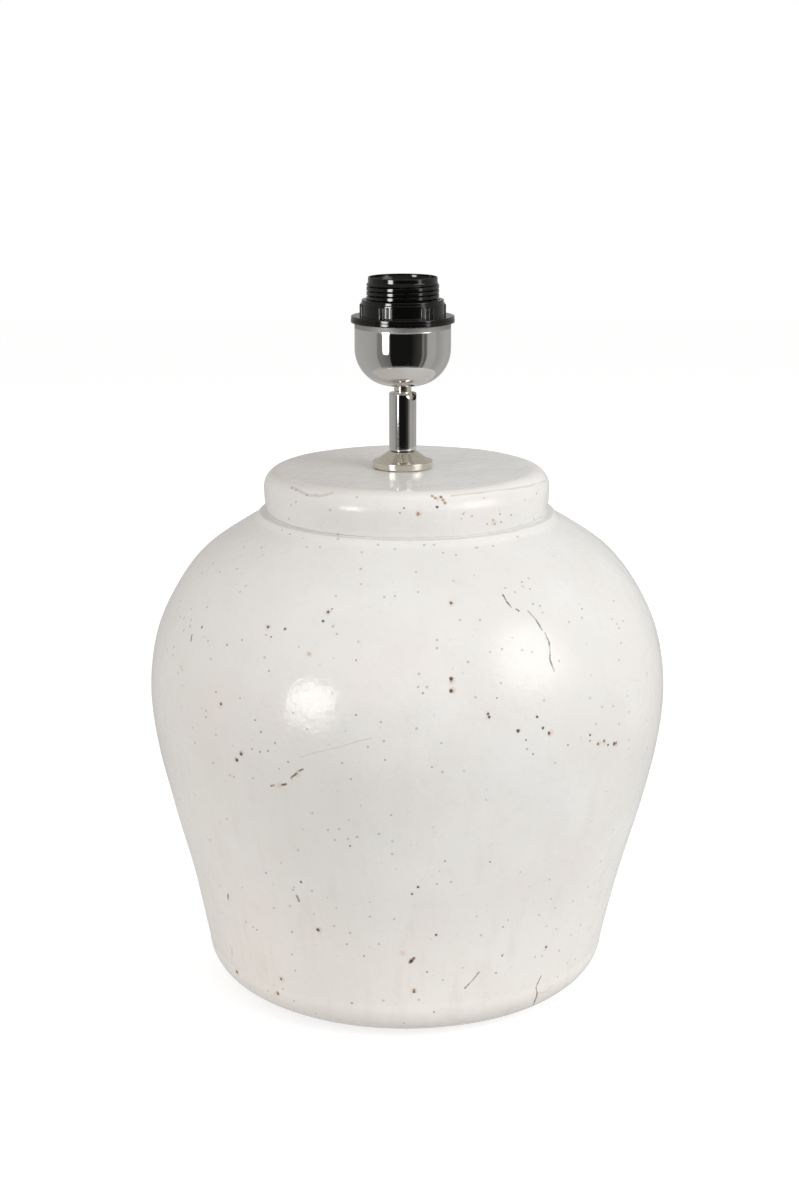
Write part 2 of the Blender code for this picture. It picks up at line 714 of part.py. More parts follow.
def make_cup(material, axis):
    """Spun cup with a flat bottom, a quarter-ellipse side and a straight upper wall."""
    outer = CUP_DIAMETER / 2
    flat = CUP_FLAT_DIAMETER / 2
    round_centre = (flat, CUP_ROUND_HEIGHT)
    outside = arc(round_centre, (outer - flat, CUP_ROUND_HEIGHT), -90, 0, CUP_STEPS)
    inner_radii = (outer - flat - CUP_WALL, CUP_ROUND_HEIGHT - CUP_WALL)
    inside = arc(round_centre, inner_radii, 0, -90, CUP_STEPS)
    hole = CUP_HOLE_DIAMETER / 2
    rim = [
        (outer, CUP_HEIGHT - CUP_WALL / 3),
        (outer - CUP_WALL / 3, CUP_HEIGHT),
        (outer - CUP_WALL, CUP_HEIGHT),
    ]
    outline = [(hole, 0)] + outside + rim + inside + [(hole, CUP_WALL)]
    cup = turned("cup", outline, ROUND_SEGMENTS, material)
    seat(cup, CUP_BOTTOM, axis)


def make_holder_cap(material, steel, axis):
    bore = THREAD_HOLE_DIAMETER / 2 - FIT_GAP / 2
    boss = CAP_BOSS_DIAMETER / 2
    outer = CAP_DIAMETER / 2
    inner = CAP_INNER_RADIUS
    ledge = inner - CAP_LEDGE_WIDTH
    outline = [
        (bore, 0),
        (boss, 0),
        (boss, CAP_BOSS_HEIGHT),
        (outer, CAP_BOSS_HEIGHT + CAP_CONE_HEIGHT),
        (outer, CAP_HEIGHT),
        (inner, CAP_HEIGHT),
        (inner, CAP_LEDGE_HEIGHT),
        (ledge, CAP_LEDGE_HEIGHT),
        (ledge, CAP_FLOOR_HEIGHT + CAP_CONE_HEIGHT * (ledge - boss) / (outer - boss)),
        (boss, CAP_FLOOR_HEIGHT),
        (bore, CAP_FLOOR_HEIGHT),
    ]
    cap = turned("holder_cap", outline, ROUND_SEGMENTS, material)
    seat(cap, CAP_BOTTOM, axis)
    hole = cylinder_tool("grub_hole", GRUB_DIAMETER / 2 + FIT_GAP, boss + CUT_OVERRUN, SMALL_SEGMENTS // 2)
    hole.rotation_euler.y = math.radians(90)
    seat(hole, CAP_BOTTOM + GRUB_HEIGHT_ON_BOSS, axis)
    cut_or_join(cap, hole, "DIFFERENCE")
    start = NECK_DIAMETER / 2 + FIT_GAP
    grub = cylinder_tool("cap_grub_screw", GRUB_DIAMETER / 2, boss - GRUB_INSET - start, SMALL_SEGMENTS // 2)
    grub.data.materials.append(steel)
    grub.rotation_euler.y = math.radians(90)
    seat(grub, CAP_BOTTOM + GRUB_HEIGHT_ON_BOSS, axis)
    grub.location.x = start


def make_contact_block(material, axis):
    """Insulating block with a shroud round the screw shell and three blind screw holes."""
    base = BLOCK_RADIUS
    shroud_outer = SHROUD_DIAMETER / 2
    shroud_inner = SHELL_THREAD_DIAMETER / 2 + SHELL_WALL + FIT_GAP
    outline = [
        (0, 0),
        (base - BLOCK_EDGE, 0),
        (base, BLOCK_EDGE),
        (base, BLOCK_HEIGHT),
        (shroud_outer, BLOCK_HEIGHT),
        (shroud_outer, SHROUD_HEIGHT - BLOCK_EDGE),
        (shroud_outer - BLOCK_EDGE, SHROUD_HEIGHT),
        (shroud_inner, SHROUD_HEIGHT),
        (shroud_inner, BLOCK_HEIGHT),
        (0, BLOCK_HEIGHT),
    ]
    block = turned("contact_block", outline, ROUND_SEGMENTS, material)
    seat(block, BLOCK_BOTTOM, axis)
    hole_depth = SCREW_GRIP - TERMINAL_THICKNESS + FIT_GAP
    for side, place in (("live", TERMINAL_OFFSET), ("neutral", -TERMINAL_OFFSET)):
        hole = cylinder_tool(
            side + "_screw_hole", SCREW_DIAMETER / 2 + FIT_GAP / 2, hole_depth + CUT_OVERRUN, SMALL_SEGMENTS
        )
        seat(hole, BLOCK_BOTTOM - CUT_OVERRUN, axis)
        hole.location.y = place
        cut_or_join(block, hole, "DIFFERENCE")
    tongue_hole_depth = SCREW_GRIP
    tongue_hole = cylinder_tool(
        "tongue_screw_hole", SCREW_DIAMETER / 2 + FIT_GAP / 2, tongue_hole_depth + CUT_OVERRUN, SMALL_SEGMENTS
    )
    seat(tongue_hole, BLOCK_TOP - tongue_hole_depth, axis)
    tongue_hole.location.x = -TONGUE_ROOT + TONGUE_FOOT / 2
    cut_or_join(block, tongue_hole, "DIFFERENCE")


def ridge(phase):
    """Round thread form: 1 on the crest, 0 in the root."""
    return (0.5 + 0.5 * math.cos(2 * math.pi * phase)) ** 1.4


def fade_at_ends(height, low, high, length):
    """Runs a thread out over one length at both ends."""
    inside = min(height - low, high - height)
    return max(0.0, min(1.0, inside / length))


def make_screw_shell(material, axis):
    """Thin brass shell that is rolled into the lamp's screw thread."""
    crest = SHELL_THREAD_DIAMETER / 2
    rows = int(SHELL_HEIGHT / SHELL_THREAD_PITCH * SHELL_ROWS_PER_PITCH)

    def outline(angle):
        inside = []
        outside = []
        for row in range(rows + 1):
            height = SHELL_HEIGHT * row / rows
            phase = height / SHELL_THREAD_PITCH - angle / (2 * math.pi)
            depth = SHELL_THREAD_DEPTH * (1 - ridge(phase))
            depth *= fade_at_ends(height, 0, SHELL_HEIGHT, SHELL_THREAD_PITCH / 2)
            inside.append((crest - depth, height))
            outside.append((crest - depth + SHELL_WALL, height))
        return inside[::-1] + outside

    shell = turned("screw_shell", outline, SHELL_SEGMENTS, material)
    seat(shell, BLOCK_TOP + FIT_GAP, axis)


def make_centre_contact(brass, steel, axis):
    """Bent spring tongue, screwed down beside the middle, that rises to the lamp's tip."""
    thickness = TONGUE_THICKNESS
    knee = -TONGUE_ROOT + TONGUE_FOOT
    tip = TONGUE_REACH
    side = [
        (-TONGUE_ROOT, 0),
        (knee, 0),
        (tip - thickness, TONGUE_RISE - thickness),
        (tip + thickness, TONGUE_RISE - thickness),
        (tip + thickness, TONGUE_RISE),
        (tip - thickness, TONGUE_RISE),
        (knee, thickness),
        (-TONGUE_ROOT, thickness),
    ]
    tongue = prism("centre_contact", side, TONGUE_WIDTH, brass)
    tongue.rotation_euler.x = math.radians(90)
    seat(tongue, BLOCK_TOP + FIT_GAP, axis)
    tongue.location.y = TONGUE_WIDTH / 2
    hole = cylinder_tool(
        "tongue_hole", SCREW_DIAMETER / 2 + FIT_GAP / 2, TONGUE_RISE, SMALL_SEGMENTS
    )
    seat(hole, BLOCK_TOP - TONGUE_RISE / 2, axis)
    hole.location.x = knee - TONGUE_FOOT / 2
    cut_or_join(tongue, hole, "DIFFERENCE")
    screw = slotted_screw("contact_screw", steel)
    screw.rotation_euler.x = math.radians(180)
    seat(screw, BLOCK_TOP + 2 * FIT_GAP + thickness + SCREW_HEAD, axis)
    screw.location.x = knee - TONGUE_FOOT / 2


def make_terminal(side, place, brass, steel, axis):
    """Brass clamping plate under the block, with its screw."""
    half_length = TERMINAL_LENGTH / 2
    half_width = TERMINAL_WIDTH / 2
    corners = [
        (-half_length, -half_width),
        (half_length, -half_width),
        (half_length, half_width),
        (-half_length, half_width),
    ]
    plate = prism(side + "_terminal", corners, TERMINAL_THICKNESS, brass)
    plate_bottom = BLOCK_BOTTOM - FIT_GAP - TERMINAL_THICKNESS
    seat(plate, plate_bottom, axis)
    plate.location.y = place
    hole = cylinder_tool(
        side + "_terminal_hole", SCREW_DIAMETER / 2 + FIT_GAP / 2, TERMINAL_THICKNESS + 2 * CUT_OVERRUN, SMALL_SEGMENTS
    )
    seat(hole, plate_bottom - CUT_OVERRUN, axis)
    hole.location.y = place
    cut_or_join(plate, hole, "DIFFERENCE")
    screw = slotted_screw(side + "_terminal_screw", steel)
    seat(screw, plate_bottom - FIT_GAP - SCREW_HEAD, axis)
    screw.location.y = place


def make_sleeve(material, axis):
    """Black outer sleeve: skirt in the cup, flange on its rim, and a barrel with a helical thread."""
    outer = SLEEVE_DIAMETER / 2
    inner = SLEEVE_BORE / 2
    skirt_inner = CAP_DIAMETER / 2 + FIT_GAP
    skirt_outer = skirt_inner + SKIRT_WALL
    web = CAP_TOP + FIT_GAP - SLEEVE_BOTTOM
    hold = BLOCK_TOP + FIT_GAP - SLEEVE_BOTTOM
    thread_low = SLEEVE_FLANGE
    thread_high = SLEEVE_LENGTH - SLEEVE_PLAIN_BAND
    rows = int((thread_high - thread_low) / SLEEVE_THREAD_PITCH * SLEEVE_ROWS_PER_PITCH)
    mouth = outer - SLEEVE_MOUTH_WALL

    def outline(angle):
        points = [
            (skirt_inner, -SKIRT_DEPTH),
            (skirt_outer, -SKIRT_DEPTH),
            (skirt_outer, 0),
            (SLEEVE_FLANGE_DIAMETER / 2 - SLEEVE_EDGE, 0),
            (SLEEVE_FLANGE_DIAMETER / 2, SLEEVE_EDGE),
            (SLEEVE_FLANGE_DIAMETER / 2, SLEEVE_FLANGE - SLEEVE_EDGE),
            (SLEEVE_FLANGE_DIAMETER / 2 - SLEEVE_EDGE, SLEEVE_FLANGE),
        ]
        for row in range(rows + 1):
            height = thread_low + (thread_high - thread_low) * row / rows
            phase = height / SLEEVE_THREAD_PITCH - angle / (2 * math.pi)
            fade = fade_at_ends(height, thread_low, thread_high, SLEEVE_THREAD_PITCH / 2)
            points.append((outer + SLEEVE_THREAD_DEPTH * ridge(phase) * fade, height))
        points += [
            (outer, SLEEVE_LENGTH - SLEEVE_EDGE),
            (outer - SLEEVE_MOUTH_WALL / 2, SLEEVE_LENGTH),
            (mouth, SLEEVE_LENGTH - SLEEVE_EDGE),
            (mouth, SLEEVE_LENGTH - SLEEVE_MOUTH_DEPTH),
            (inner, SLEEVE_LENGTH - 2 * SLEEVE_MOUTH_DEPTH),
            (inner, web + 2 * HOLD_LIP_WALL),
            (inner - HOLD_LIP_WALL, web + HOLD_LIP_WALL),
            (inner - HOLD_LIP_WALL, hold),
            (inner - FIT_GAP, hold),
            (inner - FIT_GAP, web),
            (skirt_inner, web),
        ]
        return points

    sleeve = turned("outer_sleeve", outline, ROUND_SEGMENTS, material)
    seat(sleeve, SLEEVE_BOTTOM, axis)


def make_rib_comb():
    """All grip ribs as upright round bars with domed tops."""
    shape = bmesh.new()
    radius = RING_COLLAR_DIAMETER / 2
    for group in range(RIB_GROUPS):
        for number in range(RIBS_PER_GROUP):
            offset = (number - (RIBS_PER_GROUP - 1) / 2) * RIB_SPACING
            angle = RIB_FIRST_AZIMUTH + group * 2 * math.pi / RIB_GROUPS + offset
            place = Matrix.Translation((radius * math.cos(angle), radius * math.sin(angle), 0))
            stages = (
                (RIB_DIAMETER / 2, RING_FLANGE / 2),
                (RIB_DIAMETER / 2, RING_FLANGE + RIB_HEIGHT - RIB_DIAMETER),
                (RIB_DIAMETER / 4, RING_FLANGE + RIB_HEIGHT - RIB_DIAMETER / 2),
            )
            loops = []
            for bar_radius, height in stages:
                loop = []
                for corner in range(8):
                    turn = corner * math.pi / 4
                    spot = Vector((bar_radius * math.cos(turn), bar_radius * math.sin(turn), height))
                    loop.append(shape.verts.new(place @ spot))
                loops.append(loop)
            shape.faces.new(loops[0])
            shape.faces.new(loops[-1])
            for low, high in zip(loops, loops[1:]):
                for corner in range(8):
                    after = (corner + 1) % 8
                    shape.faces.new((low[corner], low[after], high[after], high[corner]))
    return add_object("grip_ribs", finish_mesh("grip_ribs", shape))


def make_shade_ring(material, axis):
    """Screw ring with a flange and a stepped, ribbed collar."""
    bore = SLEEVE_DIAMETER / 2 + SLEEVE_THREAD_DEPTH + FIT_GAP
    flange = RING_FLANGE_DIAMETER / 2
    collar = RING_COLLAR_DIAMETER / 2
    step = RING_STEP_DIAMETER / 2
    shoulder = RING_FLANGE + RING_COLLAR
    outline = [
        (bore, 0),
        (flange - RING_EDGE, 0),
        (flange, RING_EDGE),
        (flange, RING_FLANGE - RING_EDGE),
        (flange - RING_EDGE, RING_FLANGE),
        (collar, RING_FLANGE),
        (collar, shoulder),
        (step, shoulder + RING_EDGE),
        (step, RING_HEIGHT - RING_EDGE),
        (step - RING_EDGE, RING_HEIGHT),
        (bore + RING_EDGE, RING_HEIGHT),
        (bore, RING_HEIGHT - RING_EDGE),
    ]
    ring = turned("shade_ring", outline, ROUND_SEGMENTS, material)
    seat(ring, RING_BOTTOM, axis)
    ribs = make_rib_comb()
    seat(ribs, RING_BOTTOM, axis)
    cut_or_join(ring, ribs, "UNION")


def build():
    remove_everything()
    glaze = make_material("white_glaze", (0.78, 0.75, 0.71), 0.18, 0.0)
    felt = make_material("grey_felt", (0.20, 0.20, 0.19), 0.95, 0.0)
    rubber = make_material("clear_grey_bush", (0.06, 0.06, 0.06), 0.6, 0.0)
    chrome = make_material("chrome", (0.62, 0.61, 0.60), 0.06, 1.0)
    nickel = make_material("nickel", (0.62, 0.56, 0.47), 0.16, 1.0)
    zinc = make_material("zinc_steel", (0.55, 0.55, 0.53), 0.35, 1.0)
    fibre = make_material("red_fibre", (0.28, 0.09, 0.05), 0.8, 0.0)
    black = make_material("black_resin", (0.012, 0.012, 0.012), 0.22, 0.0)
    steatite = make_material("steatite", (0.80, 0.78, 0.72), 0.5, 0.0)
    brass = make_material("brass", (0.78, 0.58, 0.27), 0.25, 1.0)
    nylon = make_material("white_nylon", (0.75, 0.74, 0.70), 0.45, 0.0)

    make_jar(glaze)
    make_pads(felt)
    make_grommet(rubber)
    make_rod(zinc)
    make_clamp_stack(fibre, zinc)
    make_rosette(nickel)
    make_housing(chrome)
    make_ball_seat(nylon)
    make_spring(zinc)

    tilt_axis = make_axis("tilt_axis", BALL_CENTRE)
    make_ball_stud(nickel, tilt_axis)
    holder_axis = make_axis("holder_axis", BALL_CENTRE, tilt_axis)
    make_cup(chrome, holder_axis)
    make_holder_cap(black, zinc, holder_axis)
    make_contact_block(steatite, holder_axis)
    make_screw_shell(brass, holder_axis)
    make_centre_contact(brass, zinc, holder_axis)
    make_terminal("live", TERMINAL_OFFSET, brass, zinc, holder_axis)
    make_terminal("neutral", -TERMINAL_OFFSET, brass, zinc, holder_axis)
    make_sleeve(black, holder_axis)
    make_shade_ring(black, holder_axis)


build()
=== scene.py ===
# Looks of the table lamp base: finer meshes, procedural finishes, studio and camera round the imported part.

from math import acos, atan2, ceil, cos, degrees, exp, hypot, pi, radians, sin, sqrt, tan

import bmesh
import bpy
from mathutils import Matrix, Vector, noise
from mathutils.bvhtree import BVHTree


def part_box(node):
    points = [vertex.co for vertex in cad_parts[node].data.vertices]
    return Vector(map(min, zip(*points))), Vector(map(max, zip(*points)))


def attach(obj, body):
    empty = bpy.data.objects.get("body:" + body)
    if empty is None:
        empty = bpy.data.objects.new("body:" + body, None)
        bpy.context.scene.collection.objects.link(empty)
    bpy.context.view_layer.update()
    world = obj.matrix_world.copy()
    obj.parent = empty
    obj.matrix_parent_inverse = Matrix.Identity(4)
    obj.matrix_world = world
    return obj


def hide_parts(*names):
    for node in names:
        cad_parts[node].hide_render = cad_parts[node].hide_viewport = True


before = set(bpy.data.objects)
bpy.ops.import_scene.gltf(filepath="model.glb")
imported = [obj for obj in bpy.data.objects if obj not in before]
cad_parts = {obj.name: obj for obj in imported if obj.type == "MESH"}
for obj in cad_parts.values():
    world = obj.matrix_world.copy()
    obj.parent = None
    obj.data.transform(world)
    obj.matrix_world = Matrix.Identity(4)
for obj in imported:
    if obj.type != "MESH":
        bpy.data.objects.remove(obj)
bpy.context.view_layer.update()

MM = 0.001
SHARP = radians(34)         # edges with a wider angle stay sharp
GUARD = 0.12                # millimetres from a rounding to the guard point beside it
GUARD_ROOM = 2.4            # how many times longer than its rounding a side with a guard point is
SIDE_SHARE = 0.49           # most of a side that one rounding takes
ON_AXIS = 0.001             # radius that closes a cutting tool at its axis
TINY = 1e-6

# The photograph's frame and the camera that fits it
FRAME_WIDTH = 799
FRAME_HEIGHT = 1200
FOCAL_PIXELS = 2069.4
CAMERA_PLACE = Vector((-0.0018, -1.1397, 0.5059))
CAMERA_PITCH = radians(14.043)


def added(name, data):
    """A new object in the scene."""
    thing = bpy.data.objects.new(name, data)
    bpy.context.scene.collection.objects.link(thing)
    return thing


# Camera

def make_camera():
    lens = bpy.data.cameras.new("camera")
    lens.sensor_width = 36.0
    lens.lens = FOCAL_PIXELS / FRAME_HEIGHT * lens.sensor_width
    lens.clip_start = 0.05
    lens.clip_end = 20.0
    camera = added("camera", lens)
    camera.location = CAMERA_PLACE
    camera.rotation_euler = (pi / 2 - CAMERA_PITCH, 0, 0)
    bpy.context.scene.camera = camera


def photo_ray(across, down):
    """Direction from the camera through a pixel of the photograph."""
    right = Vector((1, 0, 0))
    ahead = Vector((0, cos(CAMERA_PITCH), -sin(CAMERA_PITCH)))
    up = right.cross(ahead)
    ray = ahead * FOCAL_PIXELS + right * (across - FRAME_WIDTH / 2) - up * (down - FRAME_HEIGHT / 2)
    return ray.normalized()


# Outlines and meshes
# An outline is a closed loop of (radius, height) in millimetres.

def clamped(value):
    return max(0.0, min(1.0, value))


def arc(centre, radii, start, end, steps):
    """Points on an ellipse from one angle to another, in degrees."""
    angles = [radians(start + (end - start) * step / steps) for step in range(steps + 1)]
    return [(centre[0] + radii[0] * cos(turn), centre[1] + radii[1] * sin(turn)) for turn in angles]


def smooth_through(knots, steps):
    """Catmull-Rom curve through the knots."""
    points = []
    last = len(knots) - 1
    for index in range(last):
        before = Vector(knots[max(index - 1, 0)])
        here = Vector(knots[index])
        there = Vector(knots[index + 1])
        after = Vector(knots[min(index + 2, last)])
        for step in range(steps):
            t = step / steps
            points.append(tuple(
                here * (2 * t ** 3 - 3 * t ** 2 + 1)
                + (there - before) / 2 * (t ** 3 - 2 * t ** 2 + t)
                + there * (3 * t ** 2 - 2 * t ** 3)
                + (after - here) / 2 * (t ** 3 - t ** 2)
            ))
    return points + [tuple(knots[-1])]


def rounded(corners, longest, steps=3):
    """Divided outline with rounded corners. A corner is (radius, height) or (radius, height, rounding)."""
    points = []
    for index, corner in enumerate(corners):
        here = Vector(corner[:2])
        back = Vector(corners[index - 1][:2]) - here
        on = Vector(corners[(index + 1) % len(corners)][:2]) - here
        rounding = corner[2] if len(corner) > 2 else 0.0
        if rounding <= 0 or back.length < TINY or on.length < TINY:
            points.append(tuple(here))
            continue
        reach = rounding / max(tan(back.angle(on) / 2), 0.05)
        reach = min(reach, back.length * SIDE_SHARE, on.length * SIDE_SHARE)
        start = here + back.normalized() * reach
        end = here + on.normalized() * reach
        # A guard point just before and after the rounding keeps the flats beside it flat in smooth shading
        if back.length > GUARD_ROOM * (reach + GUARD):
            points.append(tuple(start + back.normalized() * GUARD))
        for step in range(steps + 1):
            t = step / steps
            points.append(tuple(start * (1 - t) ** 2 + here * 2 * t * (1 - t) + end * t ** 2))
        if on.length > GUARD_ROOM * (reach + GUARD):
            points.append(tuple(end + on.normalized() * GUARD))
    return divided(points, longest)


def divided(points, longest):
    """The same outline with no stretch longer than a length."""
    fine = []
    for index, point in enumerate(points):
        here = Vector(point)
        there = Vector(points[(index + 1) % len(points)])
        parts = max(1, ceil((there - here).length / longest))
        fine += [tuple(here.lerp(there, part / parts)) for part in range(parts)]
    return fine


def heights(node):
    """Lowest and highest point of a CAD node, in millimetres."""
    low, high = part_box(node)
    return low.z / MM, high.z / MM


def mesh_object(name, shape, sharp=SHARP):
    bmesh.ops.recalc_face_normals(shape, faces=shape.faces)
    mesh = bpy.data.meshes.new(name)
    shape.to_mesh(mesh)
    shape.free()
    mesh.shade_smooth()
    mesh.set_sharp_from_angle(angle=sharp)
    return added(name, mesh)


def turned(name, outline, segments, place=None, sharp=SHARP):
    """Solid of revolution about Z. The outline may be a function of the angle.

    place, if given, takes a point in millimetres and gives where it goes.
    """
    shape = bmesh.new()
    columns = []
    for index in range(segments):
        angle = 2 * pi * index / segments
        column = []
        for radius, height in outline(angle) if callable(outline) else outline:
            point = Vector((radius * cos(angle), radius * sin(angle), height))
            column.append(shape.verts.new((place(point) if place else point) * MM))
        columns.append(column)
    for this, following in zip(columns, columns[1:] + columns[:1]):
        for row in range(len(this)):
            above = (row + 1) % len(this)
            shape.faces.new((this[row], following[row], following[above], this[above]))
    bmesh.ops.remove_doubles(shape, verts=shape.verts, dist=1e-7)
    return mesh_object(name, shape, sharp)


def drill(name, radius, low, high, segments):
    """Cylinder about Z that cuts a hole."""
    return turned(name, [(ON_AXIS, low), (radius, low), (radius, high), (ON_AXIS, high)], segments)


def carve(piece, tool, operation="DIFFERENCE"):
    """Boolean that is applied to the piece's mesh. The tool is used up."""
    modifier = piece.modifiers.new("carve", "BOOLEAN")
    modifier.object = tool
    modifier.operation = operation
    modifier.solver = "EXACT"
    bpy.context.view_layer.update()
    graph = bpy.context.evaluated_depsgraph_get()
    mesh = bpy.data.meshes.new_from_object(piece.evaluated_get(graph))
    piece.modifiers.clear()
    piece.data = mesh
    mesh.set_sharp_from_angle(angle=SHARP)
    bpy.data.objects.remove(tool)


def dress(piece, body, slot, *nodes, finishes=None):
    """Puts a piece in place of CAD nodes, with the slot's finish unless others are given."""
    piece.data.materials.clear()
    for material in finishes or (FINISH[slot],):
        piece.data.materials.append(material)
    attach(piece, body)
    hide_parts(*nodes)


# Jar

JAR_LOW, JAR_TOP = heights("ceramic_body")
JAR_HEIGHT = JAR_TOP - JAR_LOW
BELLY = 145.25
FOOT_CONTACT = 86.0
FOOT_EDGE = 23.0
COLLAR = 79.6
COLLAR_HEIGHT = 23.8
COLLAR_ROUND = 10.4
COLLAR_FLAT = 69.25
ROD_HOLE = 5.5
WALL = 7.0
TOP_WALL = 9.0
FOOT_RING = 14.0
FOOT_OPENING = 62.0
FOOT_FLOOR = 9.0
FOOT_RECESS = 2.5
OUTLET_HEIGHT = 36.0
OUTLET_HOLE = 5.3
CREASE = JAR_HEIGHT - COLLAR_HEIGHT
EQUATOR = JAR_HEIGHT - COLLAR_ROUND
TOP_STEP = 4.0          # between the rings of the flat top's mesh
BARE_ROWS = 6           # outline steps from the foot's contact ring that have no glaze

# Share of the way from the foot's edge to the crease, and radius there as a share of the belly's
BODY_SHARES = (
    (0.0, 0.788), (0.17, 0.85), (0.34, 0.929), (0.48, 0.983), (0.6, 1.0),
    (0.72, 0.971), (0.82, 0.898), (0.9, 0.798), (0.96, 0.655), (1.0, 0.534),
)

# Glaze under the collar: the groove's depth and width, and the bead's height, distance and width
GROOVE = (0.22, 0.9)
BEAD = (1.8, 4.6, 2.4)
GROOVE_INTO = Vector((-0.9, -0.2))
BEAD_OUT = Vector((0.45, 0.89))
CREASE_REACH = 12.0

# How far the hand-made jar stands off the stem's axis towards +X: at foot and top, and what the belly adds
LEAN_FOOT = 1.6
LEAN_BELLY = 1.5

# The jar is even inside the first radius and uneven beyond the second, and even at its foot
EVEN_RADIUS = 22.0
UNEVEN_RADIUS = 52.0
EVEN_FOOT = 0.06        # share of the height
TOP_FROM = 0.93         # share of the height above which the top rises and falls


def body_curve(steps):
    """Outer curve between the foot's edge and the crease."""
    rise = CREASE - FOOT_EDGE
    return smooth_through([(BELLY * radius, FOOT_EDGE + rise * share) for share, radius in BODY_SHARES], steps)


def jar_outside():
    """Outside of the jar from the foot's contact ring to the rod hole."""
    body = body_curve(16)
    foot = arc((FOOT_CONTACT, FOOT_EDGE), (body[0][0] - FOOT_CONTACT, FOOT_EDGE), -90, 0, 22)
    crease = body[-1]
    lower = arc((crease[0], EQUATOR), (COLLAR - crease[0], EQUATOR - crease[1]), -90, 0, 18)
    upper = arc((COLLAR_FLAT, EQUATOR), (COLLAR - COLLAR_FLAT, COLLAR_ROUND), 0, 90, 18)
    rings = ceil((COLLAR_FLAT - ROD_HOLE) / TOP_STEP - 1)
    top = [(COLLAR_FLAT - TOP_STEP * ring, JAR_HEIGHT) for ring in range(1, rings + 1)]
    return foot[:-1] + body + lower[1:] + upper[1:] + top + [(ROD_HOLE, JAR_HEIGHT)]


OUTSIDE = jar_outside()


def crease_filled(points):
    """Glaze that pools under the collar: a narrow groove in the crease and a low bead round it."""
    filled = []
    crease = Vector((BELLY * BODY_SHARES[-1][1], CREASE))
    for point in points:
        here = Vector(point)
        away = (here - crease).length
        if away < CREASE_REACH:
            groove = GROOVE[0] * exp(-(away / GROOVE[1]) ** 2)
            bead = BEAD[0] * exp(-((away - BEAD[1]) / BEAD[2]) ** 2) if here.y < CREASE else 0.0
            here = here + BEAD_OUT * bead + GROOVE_INTO * groove
        filled.append(tuple(here))
    return filled


def jar_inside():
    """Inside of the jar from the rod hole to the foot's contact ring."""
    body = body_curve(4)
    wall = []
    for index, point in enumerate(body):
        along = Vector(body[min(index + 1, len(body) - 1)]) - Vector(body[max(index - 1, 0)])
        along.normalize()
        wall.append((point[0] - along.y * WALL, point[1] + along.x * WALL))
    under = JAR_HEIGHT - TOP_WALL
    turn = COLLAR_ROUND - WALL / 2
    top = [(radius, under) for radius in (ROD_HOLE, 16.0, 26.0, 40.0, 54.0)]
    top += arc((COLLAR - WALL - turn, under - turn), (turn, turn), 90, 0, 5)
    top += [(body[-1][0] - WALL, CREASE - WALL / 2)]
    down = [point for point in reversed(wall[:-2]) if point[1] > FOOT_FLOOR + WALL]
    foot = arc((down[-1][0] - WALL, FOOT_FLOOR + WALL), (WALL, WALL), 0, -90, 5)
    ring = FOOT_CONTACT - FOOT_RING
    return top + down + foot + [
        (FOOT_OPENING + 1, FOOT_FLOOR), (FOOT_OPENING, FOOT_FLOOR - 1),
        (FOOT_OPENING, FOOT_RECESS + 1), (FOOT_OPENING + 1, FOOT_RECESS),
        (ring - FOOT_RECESS - 1, FOOT_RECESS), (ring - 1.0, 0.6), (ring + 0.4, 0.05), (ring + 3.0, 0.0),
    ]


def jar_place(point):
    """Slight unevenness and lean of a thrown jar."""
    radius = hypot(point.x, point.y)
    turn = atan2(point.y, point.x)
    share = point.z / JAR_HEIGHT
    free = clamped((radius - EVEN_RADIUS) / (UNEVEN_RADIUS - EVEN_RADIUS))
    free = free * free * (3 - 2 * free)
    swell = 0.45 * cos(2 * turn + 0.8) + 0.3 * cos(3 * turn + 5 * share)
    swell += 1.1 * noise.noise(Vector((cos(turn), sin(turn), 2.2 * share)) * 1.7)
    swell += 0.16 * noise.noise(Vector((cos(turn) * 4, sin(turn) * 4, 9 * share)))
    rise = 0.0
    if share > TOP_FROM:
        rise = 0.5 * noise.noise(Vector((point.x, point.y, 0)) * 0.021 + Vector((3, 1, 7)))
        rise = min(rise + 0.35 * cos(turn - 0.6), 0.7)
    grown = 1 + swell * free * clamped(share / EVEN_FOOT) / max(radius, 1)
    lean = LEAN_FOOT + LEAN_BELLY * sin(pi * clamped((share - 0.05) / 0.95) ** 1.2)
    return Vector((point.x * grown + lean * free, point.y * grown, point.z + rise * free + JAR_LOW))


def jar_radius(height):
    """Outside radius of the jar at a height above the table, in millimetres."""
    local = height - JAR_LOW
    for low, high in zip(OUTSIDE, OUTSIDE[1:]):
        if low[1] <= local <= high[1] and high[1] > low[1]:
            return low[0] + (high[0] - low[0]) * (local - low[1]) / (high[1] - low[1])
    return 0.0


def jar_hits(surface, pixels):
    """Where the lines of sight through pixels of the photograph meet the jar's surface, in metres."""
    hits = [surface.ray_cast(CAMERA_PLACE, photo_ray(*pixel))[0] for pixel in pixels]
    return [hit for hit in hits if hit is not None]


# Nodes

